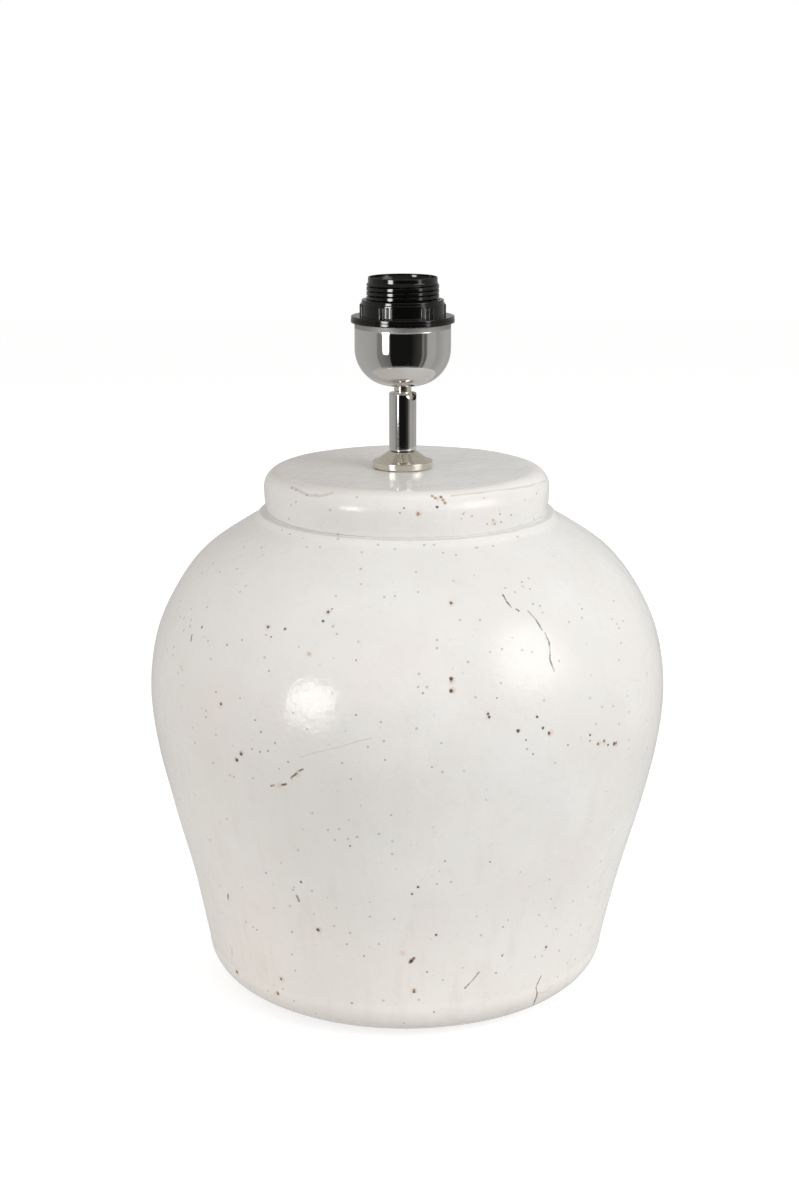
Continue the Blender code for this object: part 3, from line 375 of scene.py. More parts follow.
class Nodes:
    """A node tree that is built node by node."""

    def __init__(self, tree):
        self.tree = tree

    def feed(self, socket, value):
        if isinstance(value, bpy.types.NodeSocket):
            self.tree.links.new(value, socket)
        else:
            socket.default_value = (*value, 1.0) if socket.type == "RGBA" else value

    def node(self, kind, inputs=None, **settings):
        made = self.tree.nodes.new("ShaderNode" + kind)
        for key, value in settings.items():
            setattr(made, key, value)
        for key, value in (inputs or {}).items():
            self.feed(made.inputs[key], value)
        return made

    def out(self, kind, inputs=None, **settings):
        return self.node(kind, inputs, **settings).outputs[0]

    def math(self, operation, *values, clamp=False):
        return self.out("Math", dict(enumerate(values)), operation=operation, use_clamp=clamp)

    def times(self, first, second):
        return self.math("MULTIPLY", first, second)

    def most(self, first, second):
        return self.math("MAXIMUM", first, second)

    def vector(self, operation, *values):
        made = self.node("VectorMath", dict(enumerate(values)), operation=operation)
        return made.outputs["Value" if operation in ("DISTANCE", "LENGTH", "DOT_PRODUCT") else "Vector"]

    def scaled(self, vector, share):
        return self.out("VectorMath", {0: vector, "Scale": share}, operation="SCALE")

    def split(self, vector):
        return self.node("SeparateXYZ", {0: vector}).outputs

    def from_axis(self, place):
        """Distance from the Z axis."""
        return self.vector("LENGTH", self.vector("MULTIPLY", place, (1, 1, 0)))

    def step(self, value, low, high, start=0.0, end=1.0):
        """Smooth step from start to end as the value goes from low to high."""
        inputs = {"Value": value, "From Min": low, "From Max": high, "To Min": start, "To Max": end}
        return self.out("MapRange", inputs, interpolation_type="SMOOTHSTEP")

    def mix(self, factor, first, second):
        return self.node("Mix", {0: factor, 6: first, 7: second}, data_type="RGBA").outputs[2]

    def mix_shaders(self, factor, first, second):
        return self.out("MixShader", {0: factor, 1: first, 2: second})


class Paint(Nodes):
    """One procedural material round a Principled shader. Lengths are in metres."""

    def __init__(self, name, **values):
        self.material = bpy.data.materials.new(name)
        self.material.use_nodes = True
        super().__init__(self.material.node_tree)
        self.shader = self.tree.nodes["Principled BSDF"]
        self.here = self.node("TexCoord").outputs["Object"]
        self.finish(**values)

    def finish(self, **values):
        for socket, value in values.items():
            self.feed(self.shader.inputs[socket.replace("_", " ")], value)
        return self.material

    def stretched(self, across, along, up):
        return self.vector("MULTIPLY", self.here, (across, along, up))

    def noise(self, scale, detail=2.0, rough=0.5, place=None):
        inputs = {"Vector": place or self.here, "Scale": scale, "Detail": detail, "Roughness": rough}
        return self.out("TexNoise", inputs)

    def cells(self, scale, place=None):
        """Distance to the nearest cell point and the cell's two random numbers."""
        made = self.node("TexVoronoi", {"Vector": place or self.here, "Scale": scale})
        chances = self.node("SeparateColor", {0: made.outputs["Color"]}).outputs
        return self.math("DIVIDE", made.outputs["Distance"], scale), chances[0], chances[1]

    def tint(self, colour, mask, tone, share=1.0):
        """The colour with a tone laid over it where the mask is 1."""
        return self.mix(mask if share == 1.0 else self.times(mask, share), colour, tone)

    def bump(self, height, distance, normal=None, strength=1.0):
        inputs = {"Height": height, "Distance": distance, "Strength": strength}
        if normal:
            inputs["Normal"] = normal
        return self.out("Bump", inputs)


# Finishes

# Marks in the glaze, read from the photograph. Each group has one radius in millimetres.
SMALL_PITS = (0.78, (
    (292, 488), (296, 490), (307, 495), (290, 534), (404, 508), (400, 513), (441, 497), (493, 520), (495, 524),
    (501, 522), (500, 514), (511, 515), (443, 553), (522, 582), (582, 609), (614, 601), (497, 698), (526, 740),
    (533, 754), (568, 745), (590, 741), (629, 740), (202, 573), (220, 572), (198, 567), (213, 563), (174, 647),
    (173, 655), (271, 637), (242, 640), (227, 645), (332, 609), (356, 660), (356, 715), (216, 692), (206, 717),
    (255, 720), (261, 732), (275, 743), (260, 752), (268, 751), (195, 743), (165, 737), (288, 762), (213, 763),
    (350, 846), (266, 873), (293, 890), (274, 908), (257, 930), (292, 932), (347, 944), (364, 956), (404, 1023),
    (490, 862), (445, 861), (502, 956), (496, 973), (427, 972), (434, 1012), (385, 760), (423, 693), (268, 991),
    (503, 927), (269, 671), (352, 1003),
))
PITS = (1.05, (
    (437, 507), (537, 717), (543, 728), (590, 735), (598, 744), (608, 745), (604, 741),
    (549, 733), (488, 714), (489, 717), (202, 627), (285, 629), (268, 627), (323, 621), (301, 882), (412, 894),
    (436, 935), (418, 887), (221, 704), (451, 603), (328, 612), (278, 994), (281, 979), (414, 992), (546, 947),
))
LARGE_PITS = (1.5, (
    (451, 679), (451, 691), (518, 731), (614, 744), (241, 754), (237, 760), (318, 930), (411, 961), (237, 972),
))
GREY_DOTS = (0.95, (
    (296, 502), (291, 505), (330, 510), (357, 497), (289, 519), (282, 530), (338, 534), (338, 539), (418, 513),
    (421, 487), (457, 486), (518, 477), (463, 514), (472, 516), (487, 524), (525, 500), (378, 545), (395, 549),
    (424, 545), (434, 545), (456, 555), (476, 548), (493, 546), (307, 547), (320, 547), (460, 620), (480, 620),
    (505, 588), (515, 592), (530, 589), (540, 606), (533, 604), (582, 618), (569, 622), (612, 619), (617, 624),
    (623, 621), (619, 628), (621, 643), (619, 660), (490, 652), (502, 649), (522, 650), (532, 652), (559, 661),
    (468, 662), (501, 683), (527, 749), (590, 698), (596, 724), (619, 724), (629, 712), (613, 706), (602, 707),
    (237, 569), (246, 586), (240, 592), (191, 620), (184, 618), (190, 626), (184, 630), (191, 609), (207, 607),
    (181, 667), (178, 673), (266, 635), (208, 641), (211, 659), (336, 596), (337, 634), (309, 654), (293, 713),
    (307, 729), (206, 711), (240, 698), (252, 749), (216, 735), (230, 775), (234, 777), (253, 778), (342, 763),
    (351, 779), (432, 767), (361, 584), (395, 596), (418, 592), (416, 572), (437, 640), (437, 648), (418, 687),
    (427, 687), (419, 674), (381, 722), (368, 747), (384, 741), (227, 819), (210, 840), (391, 815), (379, 834),
    (339, 829), (328, 830), (357, 837), (348, 839), (335, 840), (298, 850), (392, 854), (312, 891), (290, 906),
    (246, 922), (253, 927), (334, 926), (379, 944), (481, 935), (542, 956), (535, 957), (551, 899), (555, 908),
    (539, 915), (573, 901), (588, 887), (571, 935), (437, 884), (451, 882), (283, 989), (294, 1001), (250, 987),
    (294, 1009), (316, 1014), (267, 998),
))
RUST = (1.35, (
    (432, 496), (435, 498), (441, 497), (445, 503), (443, 500), (418, 514), (549, 734), (616, 743), (410, 962),
    (414, 990), (278, 993),
))
STAINS = (2.4, (
    (438, 499), (418, 514), (494, 523),
    (452, 681), (453, 690), (488, 716), (551, 733), (599, 744), (604, 742), (616, 744), (451, 603), (268, 627),
    (328, 612), (309, 654), (221, 704), (242, 753), (236, 760), (319, 930), (412, 960), (237, 972), (282, 979),
    (277, 994), (546, 948), (402, 953), (414, 991), (297, 774), (279, 786), (536, 999), (211, 927), (215, 945),
))

# Lines in the glaze, read from the photograph: the pixels of a line, then its half width in millimetres
CRACKS = (
    (((503, 595), (507, 602), (511, 607)), 0.68),
    (((516, 609), (519, 611)), 0.62),
    (((528, 611), (536, 620), (542, 630)), 0.7),
    (((545, 633), (549, 642), (550, 652), (550, 660), (554, 671)), 0.72),
    (((291, 778), (297, 773)), 0.8),
    (((299, 771), (303, 769)), 0.7),
    (((271, 786), (274, 785)), 0.8),
    (((282, 785), (286, 784)), 0.9),
    (((192, 635), (191, 641)), 0.8),
    (((297, 896), (299, 901)), 1.05),
    (((228, 894), (228, 899)), 0.95),
    (((414, 958), (410, 963)), 1.2),
    (((479, 972), (472, 981), (465, 988)), 0.6),
    (((541, 976), (536, 987), (537, 994)), 0.65),
    (((537, 994), (535, 1000), (532, 1006)), 0.85),
)
HAIRLINES = (
    (((291, 487), (300, 491), (307, 495), (318, 496), (326, 495), (332, 493)), 1.3),
    (((451, 496), (480, 493), (512, 489), (530, 486), (545, 481)), 1.0),
    (((300, 757), (318, 752), (336, 748), (358, 741), (372, 738)), 0.42),
    (((537, 993), (545, 992), (553, 985)), 0.55),
    (((232, 948), (232, 955)), 0.9),
)


def dot_mask(paint, place, surface, group):
    """1 in the middle of each dot of a group, 0 beyond its radius."""
    radius, pixels = group
    nearest = None
    for spot in jar_hits(surface, pixels):
        distance = paint.vector("DISTANCE", place, tuple(spot))
        nearest = distance if nearest is None else paint.math("MINIMUM", nearest, distance)
    return paint.step(nearest, radius * MM, radius * 0.3 * MM)


def line_mask(paint, place, surface, lines):
    """1 along the middle of each line, 0 beyond its half width."""
    best = None
    for pixels, half_width in lines:
        spots = jar_hits(surface, pixels)
        for start, end in zip(spots, spots[1:]):
            along = end - start
            offset = paint.vector("SUBTRACT", place, tuple(start))
            dot = paint.vector("DOT_PRODUCT", offset, tuple(along / along.length_squared))
            nearest = paint.scaled(tuple(along), paint.math("MULTIPLY", dot, 1.0, clamp=True))
            mark = paint.math("DIVIDE", paint.vector("DISTANCE", offset, nearest), half_width * MM)
            best = mark if best is None else paint.math("MINIMUM", best, mark)
    return paint.step(best, 1.0, 0.25)


def chance_dots(paint, place, cells_per_metre, share_kept, small, large):
    """Dots at random places: 1 in the middle, 0 beyond the radius, which lies between small and large."""
    distance, chance, size = paint.cells(cells_per_metre, place)
    ratio = paint.math("DIVIDE", distance, paint.step(size, 0.0, 1.0, small * MM, large * MM))
    return paint.times(paint.step(ratio, 1.0, 0.25), paint.math("LESS_THAN", chance, share_kept)), size


def glaze_finish(surface):
    paint = Paint("white_glaze")
    here, grain, step, times, most = paint.here, paint.noise, paint.step, paint.times, paint.most
    across, _, height = paint.split(here)
    wobble = paint.node("TexNoise", {"Vector": here, "Scale": 1100.0, "Detail": 1.0}).outputs["Color"]
    shift = paint.vector("SUBTRACT", wobble, (0.5, 0.5, 0.5))
    place = paint.vector("ADD", here, paint.scaled(shift, 0.0008))
    smudged = paint.vector("ADD", here, paint.scaled(shift, 0.004))

    # Marks where the photograph shows them
    pits, large_pits, small_pits, grey_dots, rust = (
        dot_mask(paint, place, surface, group) for group in (PITS, LARGE_PITS, SMALL_PITS, GREY_DOTS, RUST)
    )
    pits = most(pits, large_pits)
    stains = dot_mask(paint, smudged, surface, STAINS)
    cracks = line_mask(paint, place, surface, CRACKS)
    cracks = times(cracks, step(grain(330.0), 0.36, 0.6, 0.45, 0.92))
    hairlines = line_mask(paint, place, surface, HAIRLINES)

    # Chance pits, pinholes and specks on every side
    rare, _ = chance_dots(paint, place, 30.0, 0.22, 0.7, 1.3)
    often = step(grain(12.0), 0.35, 0.65, 0.16, 0.62)
    pinholes, size = chance_dots(paint, place, 168.0, often, 0.6, 1.1)
    pinholes = times(pinholes, step(size, 0.0, 1.0, 0.16, 0.52))
    specks, size = chance_dots(paint, place, 260.0, often, 0.3, 0.6)
    specks = times(specks, step(size, 0.0, 1.0, 0.1, 0.3))
    faint = most(most(pinholes, specks), times(grey_dots, 0.56))
    dark = most(times(most(small_pits, rare), 0.74), times(pits, 0.97))

    # Slow drift of the colour, warm and cool patches, and faint runs down the walls
    drift = step(grain(8.0, 3.0, 0.6), 0.3, 0.7)
    blush = step(grain(19.0, 3.0, 0.6), 0.5, 0.74)
    cool = step(grain(31.0, 3.0, 0.6, paint.vector("ADD", here, (0.4, 0.1, 0.7))), 0.52, 0.76)
    speckle = step(grain(170.0, 3.0, 0.65), 0.52, 0.76)
    low = step(height, 0.13, 0.0)
    runs = step(grain(1.0, 3.0, 0.6, paint.stretched(95.0, 95.0, 9.0)), 0.5, 0.74)
    runs = times(runs, step(height, 0.22, 0.04, 0.03, 0.26))

    # Thin glaze on the collar's top edge and at the foot lets the clay through
    from_top = paint.math("ABSOLUTE", paint.math("SUBTRACT", height, (JAR_TOP - 1.1) * MM))
    edge = times(step(from_top, 0.0016, 0.0003), step(paint.from_axis(here), 0.0685, 0.0715))
    edge = times(edge, step(grain(14.0), 0.42, 0.7, 0.08, 0.42))
    rim = step(paint.math("MULTIPLY_ADD", grain(55.0, 3.0), 0.01, height), 0.0125, 0.0045)

    # Warmer, slightly darker colour towards the left side; on the flat top, painted shade over its left half
    # and painted light over its right half, where the light falls unevenly
    warm_side = step(across, -0.01, -0.125, 0.0, 0.32)
    left = step(across, 0.03, -0.06)
    flat_top = step(height, (JAR_TOP - 5) * MM, (JAR_TOP - 1.5) * MM)
    painted_shade_top_left = times(left, flat_top)
    painted_light_top_right = times(paint.math("SUBTRACT", 1.0, left), flat_top)

    # Each layer: where it lies, its tone, and its strength if less than full
    colour = paint.mix(drift, (0.752, 0.733, 0.704), (0.815, 0.805, 0.788))
    for layer in (
        (blush, (0.79, 0.727, 0.692), 0.42),
        (cool, (0.75, 0.757, 0.742), 0.42),
        (speckle, (0.67, 0.645, 0.6), 0.22),
        (low, (0.74, 0.69, 0.62), 0.3),
        (runs, (0.63, 0.59, 0.52)),
        (edge, (0.58, 0.45, 0.37)),
        (warm_side, (0.745, 0.695, 0.645)),
        # painted shade on the flat top's left half, then painted light on its right half
        (painted_shade_top_left, (0.66, 0.6, 0.53), 0.35),
        (painted_light_top_right, (0.9, 0.885, 0.86), 0.6),
        (rim, (0.55, 0.42, 0.3), 0.55),
        (faint, (0.26, 0.25, 0.22)),
        (hairlines, (0.34, 0.26, 0.19), 0.3),
        (stains, (0.6, 0.38, 0.2), 0.36),
        (rust, (0.36, 0.17, 0.07), 0.8),
        (cracks, (0.13, 0.085, 0.055)),
        (dark, (0.04, 0.026, 0.018)),
    ):
        colour = paint.tint(colour, *layer)

    # Waves, ripples and peel of the surface, and sunken pits
    normal = paint.bump(grain(24.0), 0.0011, strength=0.3)
    normal = paint.bump(grain(125.0, 2.5), 0.00028, normal, 0.75)
    normal = paint.bump(grain(300.0), 0.00018, normal, 0.9)
    sunk = most(pits, times(pinholes, 1.2))
    normal = paint.bump(paint.math("SUBTRACT", 1.0, sunk), 0.0004, normal, 0.6)
    shine = most(step(grain(40.0, 3.0), 0.3, 0.7, 0.13, 0.23), times(dark, 0.6))
    return paint.finish(Base_Color=colour, Roughness=shine, Normal=normal)


def clay_finish():
    """Bare clay with grog and throwing rings."""
    paint = Paint("bare_clay", IOR=1.45)
    tone = paint.noise(60.0, 4.0, 0.6)
    colour = paint.mix(paint.step(tone, 0.3, 0.7), (0.52, 0.44, 0.34), (0.66, 0.6, 0.51))
    distance, chance, _ = paint.cells(700.0)
    grog = paint.times(paint.step(distance, 0.0006, 0.0002), paint.math("GREATER_THAN", chance, 0.75))
    colour = paint.tint(colour, grog, (0.36, 0.27, 0.2))
    normal = paint.bump(paint.noise(1.0, 2.0, 0.5, paint.stretched(3.0, 3.0, 300.0)), 0.0006, strength=0.5)
    normal = paint.bump(paint.noise(1100.0, 3.0), 0.0002, normal, 0.7)
    return paint.finish(Base_Color=colour, Roughness=paint.step(tone, 0.3, 0.7, 0.75, 0.92), Normal=normal)


def metal_finish(name, bright, dull, low, high, turning=0.0, grain=900.0, satin_from=None):
    """Plated metal with a little cloudiness in tone and shine.

    turning is the depth of turning marks in millimetres, and above satin_from, in metres, the metal is satin.
    """
    paint = Paint(name, Metallic=1.0)
    cloud = paint.noise(70.0, 3.0, 0.6)
    colour = paint.mix(paint.step(cloud, 0.3, 0.7), dull, bright)
    fine = paint.noise(grain)
    shine = paint.step(cloud, 0.3, 0.7, low, (low + high) / 2)
    shine = paint.math("MULTIPLY_ADD", fine, (high - low) / 2, shine)
    normal = paint.bump(fine, 0.00002, strength=0.25)
    if turning:
        marks = paint.noise(1.0, 2.0, 0.6, paint.stretched(60.0, 60.0, 5200.0))
        normal = paint.bump(marks, turning * MM, normal, 0.5)
    if satin_from:
        satin = paint.step(paint.split(paint.here)[2], satin_from, satin_from + 0.0003)
        colour = paint.tint(colour, satin, (0.46, 0.455, 0.44))
        shine = paint.most(shine, paint.times(satin, 0.55))
    return paint.finish(Base_Color=colour, Roughness=shine, Normal=normal)


def resin_finish():
    """Glossy black resin with a little dust."""
    paint = Paint("black_resin", IOR=1.4)
    cloud = paint.noise(140.0, 3.0, 0.6)
    colour = paint.mix(cloud, (0.002, 0.002, 0.0019), (0.0045, 0.0044, 0.004))
    dust, _ = chance_dots(paint, paint.here, 700.0, 0.02, 0.08, 0.2)
    colour = paint.tint(colour, dust, (0.13, 0.12, 0.11), 0.25)
    flow = paint.bump(paint.noise(110.0), 0.00009, strength=0.3)
    return paint.finish(Base_Color=colour, Roughness=paint.step(cloud, 0.3, 0.7, 0.06, 0.11), Normal=flow)


def felt_finish():
    paint = Paint("grey_felt", Roughness=0.95)
    fibres = paint.noise(1800.0, 4.0, 0.7)
    colour = paint.mix(fibres, (0.1, 0.1, 0.095), (0.26, 0.255, 0.24))
    colour = paint.tint(colour, paint.step(paint.noise(420.0, 3.0), 0.45, 0.7), (0.31, 0.3, 0.28))
    return paint.finish(Base_Color=colour, Normal=paint.bump(fibres, 0.0004, strength=0.9))


def plain_finish(name, dark, light, scale, rough, depth):
    """A dense matter with a fine mottled tone and a slight grain, whose depth is in millimetres."""
    paint = Paint(name)
    tone = paint.noise(scale, 4.0, 0.65)
    colour = paint.mix(paint.step(tone, 0.3, 0.7), dark, light)
    normal = paint.bump(paint.noise(scale * 4, 3.0), depth * MM, strength=0.6)
    rough = paint.step(tone, 0.3, 0.7, rough * 0.85, rough * 1.15)
    return paint.finish(Base_Color=colour, Roughness=rough, Normal=normal)


CHROME = ((0.71, 0.7, 0.685), (0.67, 0.66, 0.645), 0.03, 0.07)
CUP_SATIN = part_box("cup")[1].z - 0.00285
FINISH = {
    "clay": clay_finish(),
    "cup": metal_finish("cup_chrome", *CHROME, satin_from=CUP_SATIN),
    "chrome": metal_finish("chrome", *CHROME),
    "nickel": metal_finish("nickel", (0.8, 0.755, 0.67), (0.71, 0.66, 0.57), 0.12, 0.24, turning=0.02),
    "zinc": metal_finish("zinc_steel", (0.58, 0.57, 0.54), (0.44, 0.44, 0.43), 0.28, 0.42, grain=600.0),
    "brass": metal_finish("brass", (0.8, 0.61, 0.3), (0.68, 0.48, 0.2), 0.16, 0.3, grain=700.0),
    "resin": resin_finish(),
    "felt": felt_finish(),
    "bush": plain_finish("black_bush", (0.018, 0.018, 0.018), (0.035, 0.034, 0.033), 500.0, 0.62, 0.04),
    "fibre": plain_finish("red_fibre", (0.22, 0.06, 0.035), (0.33, 0.11, 0.06), 380.0, 0.75, 0.05),
    "steatite": plain_finish("steatite", (0.7, 0.67, 0.6), (0.82, 0.8, 0.75), 300.0, 0.5, 0.03),
    "nylon": plain_finish("white_nylon", (0.7, 0.69, 0.64), (0.79, 0.78, 0.75), 260.0, 0.42, 0.02),
}

# CAD nodes whose shapes stay, by finish
KEPT_NODES = {
    "nylon": "ball_seat",
    "resin": "holder_cap",
    "brass": "centre_contact live_terminal neutral_terminal",
    "zinc": "joint_spring cap_grub_screw contact_screw live_terminal_screw neutral_terminal_screw",
}


# Pieces

def thread(low, high, pitch, angle, per_turn, phase=0.0):
    """Rows of a thread at an angle: height, turns of the thread there, and how far it has faded in, 0 to 1."""
    rows = int((high - low) / pitch * per_turn)
    for row in range(rows + 1):
        height = low + (high - low) * row / rows
        whole = clamped(min(height - low, high - height) / (pitch / 2))
        yield height, (height - low) / pitch - angle / (2 * pi) + phase, whole


def make_ceramic():
    outside = crease_filled(OUTSIDE)
    loop = outside + jar_inside()
    jar = turned("jar", loop, 224, jar_place, radians(50))
    for face in jar.data.polygons:
        rows = [vertex % len(loop) for vertex in face.vertices]
        face.material_index = 0 if max(rows) < len(outside) and min(rows) >= BARE_ROWS else 1
    corners = [vertex.co for vertex in jar.data.vertices]
    surface = BVHTree.FromPolygons(corners, [face.vertices for face in jar.data.polygons])
    dress(jar, "base", "glaze", "ceramic_body", finishes=(glaze_finish(surface), FINISH["clay"]))
    hole = drill("outlet_tool", OUTLET_HOLE, 0, BELLY, 40)
    hole.matrix_world = Matrix.Translation((0, 0, OUTLET_HEIGHT * MM)) @ Matrix.Rotation(-pi / 2, 4, "X")
    carve(jar, hole)


def make_pads():
    """Felt pads with a slightly ragged edge."""
    for number in range(1, 5):
        name = f"felt_pad_{number}"
        low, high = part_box(name)
        centre = (low + high) / 2 / MM
        radius = (high.x - low.x) / 2 / MM
        thick = (high.z - low.z) / MM
        corners = [(0.01, 0), (radius, 0, 0.25), (radius, thick, 0.35), (0.01, thick)]

        def fuzzy(point, centre=centre, thick=thick):
            spot = point + Vector((centre.x, centre.y, 0))
            pull = noise.noise(spot * 1.9) * 0.16 + noise.noise(spot * 5.0) * 0.06
            radial = Vector((point.x, point.y, 0))
            spot += radial.normalized() * pull * min(1.0, radial.length / 5.0)
            spot.z = min(max(spot.z, 0.0), thick)
            return spot

        pad = turned(f"pad_{number}", rounded(corners, 0.6), 56, fuzzy)
        dress(pad, "base", "felt", name)


def make_bush():
    """Rubber bush in the cable outlet. Its lips follow the jar's wall inside and outside."""
    neck, lip, bore = 5.0, 7.0, 3.5
    outer_lip, inner_lip = 0.3, -7.45

    def end(wall, out):
        return [
            (bore, wall + 1.8 * out, 0.5), (lip - 0.6, wall + 1.6 * out, 0.8), (lip, wall, 0.4),
            (neck, wall, 0.15),
        ]

    def on_wall(point):
        height = OUTLET_HEIGHT + point.y
        radius = jar_radius(height) + point.z
        return Vector((point.x, sqrt(radius * radius - point.x * point.x), height))

    outline = rounded(end(outer_lip, 1) + end(inner_lip, -1)[::-1], 0.7)
    dress(turned("cable_bush", outline, 64, on_wall), "base", "bush", "cable_grommet")


def make_rod():
    low, high = heights("threaded_rod")
    outer, bore = 4.95, 3.7
    pitch, depth = 1.0, 0.55
    chamfer, margin, run_out = 0.6, 0.4, 1.2

    def outline(angle):
        loop = [(bore, low), (outer - chamfer, low)]
        for height, turns, _ in thread(low + margin, high - margin, pitch, angle, 6, (low + margin) / pitch):
            saw = abs(2 * (turns % 1) - 1)
            end = min(1.0, (height - low) / run_out, (high - height) / run_out)
            loop.append((outer - depth * saw - 0.5 * (1 - end), height))
        return loop + [(outer - chamfer, high), (bore, high)]

    dress(turned("cable_rod", outline, 56, sharp=radians(75)), "base", "zinc", "threaded_rod")


def make_washers():
    hole = 5.25
    for node, outer, slot in (("fibre_washer", 16.0, "fibre"), ("steel_washer", 14.0, "zinc")):
        low, high = heights(node)
        corners = [(hole, low, 0.15), (outer, low, 0.3), (outer, high, 0.3), (hole, high, 0.15)]
        dress(turned(node + "_disc", rounded(corners, 2.0), 96), "base", slot, node)


def make_nut():
    low, high = heights("lock_nut")
    hole, half_flats, bevel_from = 5.25, 8.5, 8.45
    sixth = pi / 3
    corner = half_flats / cos(sixth / 2)

    def outline(angle):
        edge = min(half_flats / cos((angle + sixth / 2) % sixth - sixth / 2), corner - 0.15)
        bevel = max(0.0, edge - bevel_from) * 0.55
        return [
            (hole, low + 0.5), (hole + 0.45, low), (8.0, low), (edge, low + bevel),
            (edge, high - bevel), (8.0, high), (hole + 0.45, high), (hole, high - 0.5),
        ]

    dress(turned("hex_nut", outline, 144, sharp=radians(24)), "base", "zinc", "lock_nut")


def make_rosette():
    low, high = heights("rosette")
    outer, cone, top, hole, wall = 16.7, 13.7, 7.9, 5.25, 1.2
    rim = low + 3.9
    ledge = rim + 0.45
    corners = [
        (outer - wall, low, 0.1), (outer - 0.1, low, 0.25), (outer, low + 0.6, 0.3), (outer, rim - 0.3, 0.55),
        (outer - 0.6, rim, 0.35), (cone + 0.3, ledge, 0.25), (cone, ledge + 0.25, 0.2),
        (top + 0.3, high - 0.3, 0.3), (top - 0.3, high, 0.2), (hole, high, 0.1), (hole, ledge, 0.1),
        (top, ledge, 0.2), (cone - wall, rim - wall, 0.3), (outer - wall, rim - wall, 0.3),
    ]
    dress(turned("rosette_shell", rounded(corners, 0.8, 4), 144), "base", "nickel", "rosette")


HOUSING = heights("joint_housing")
BALL_HEIGHT = HOUSING[1] - 4.0
SLOT_TURN = radians(-37.0)
SLOT_TILT = radians(46.0)


def make_housing():
    """Tube with a socket for the ball, and a slot that lets the neck tilt."""
    low, high = HOUSING
    outer, bore, lip, socket = 7.6, 5.25, 5.1, 6.4
    floor = low + 10.0
    cavity = arc((0, BALL_HEIGHT), (socket, socket), degrees(acos(lip / socket)), 0, 12)
    shell = [
        (bore, low, 0.2), (outer - 0.75, low, 0.15), (outer, low + 0.8, 0.3), (outer, high - 0.5, 0.35),
        (outer - 0.5, high, 0.2), (lip, high, 0.1),
    ]
    outline = rounded(shell + cavity + [(socket, floor), (bore, floor)], 1.5)
    housing = turned("joint_tube", outline, 128)

    # The slot is a round groove at the neck's full tilt, and a window from there up to the upright
    half_width, reach = 5.15, 20.0
    upright = Matrix.Translation((0, 0, BALL_HEIGHT * MM)) @ Matrix.Rotation(SLOT_TURN, 4, "Z")
    groove = drill("groove_tool", half_width, 0, reach, 72)
    groove.matrix_world = upright @ Matrix.Rotation(SLOT_TILT, 4, "Y")
    shape = bmesh.new()
    far = (reach * sin(SLOT_TILT), reach * cos(SLOT_TILT))
    side = [(0, 0), far, (far[0], reach), (0, reach)]
    face = shape.faces.new([shape.verts.new((along * MM, -half_width * MM, up * MM)) for along, up in side])
    grown = bmesh.ops.extrude_face_region(shape, geom=[face])
    moved = [part for part in grown["geom"] if isinstance(part, bmesh.types.BMVert)]
    bmesh.ops.translate(shape, vec=(0, 2 * half_width * MM, 0), verts=moved)
    window = mesh_object("window_tool", shape)
    window.matrix_world = upright
    carve(housing, groove)
    carve(housing, window)
    dress(housing, "base", "chrome", "joint_housing")


def make_ball_stud():
    high = heights("ball_stud")[1]
    ball, neck, waist, bore, flare = 6.1, 4.8, 4.55, 3.0, 4.2
    bottom = -degrees(acos(flare / ball))
    round_ball = arc((0, BALL_HEIGHT), (ball, ball), bottom, degrees(acos(neck / ball)), 30)
    join = round_ball[-1][1]
    outline = [(bore, round_ball[0][1] + 1.8)] + round_ball + [
        (waist, join + 0.5), (waist, join + 1.0), (neck, join + 1.3), (neck, high - 0.5), (neck - 0.5, high),
        (bore, high),
    ]
    dress(turned("ball_and_neck", divided(outline, 0.8), 96), "ball_stud", "nickel", "ball_stud")


def make_cup():
    low, high = heights("cup")
    outer, flat, wall, hole, depth = 26.6, 6.5, 1.0, 5.05, 20.5
    band = outer - 0.04
    outside = arc((flat, low + depth), (outer - flat, depth), -90, 0, 40)
    inside = arc((flat, low + depth), (outer - flat - wall, depth - wall), 0, -90, 24)
    rim = [
        (outer, high - 2.9), (band, high - 2.75), (band, high - 2.6), (band, high - 1.2), (band, high - 0.15),
        (outer - 0.2, high), (outer - wall, high), (outer - wall, high - 0.4),
    ]
    outline = [(hole, low)] + outside + rim + inside + [(hole, low + wall)]
    cup = turned("cup_shell", divided(outline, 1.2), 160)
    dress(cup, "lampholder", "chrome", "cup", finishes=(FINISH["cup"],))


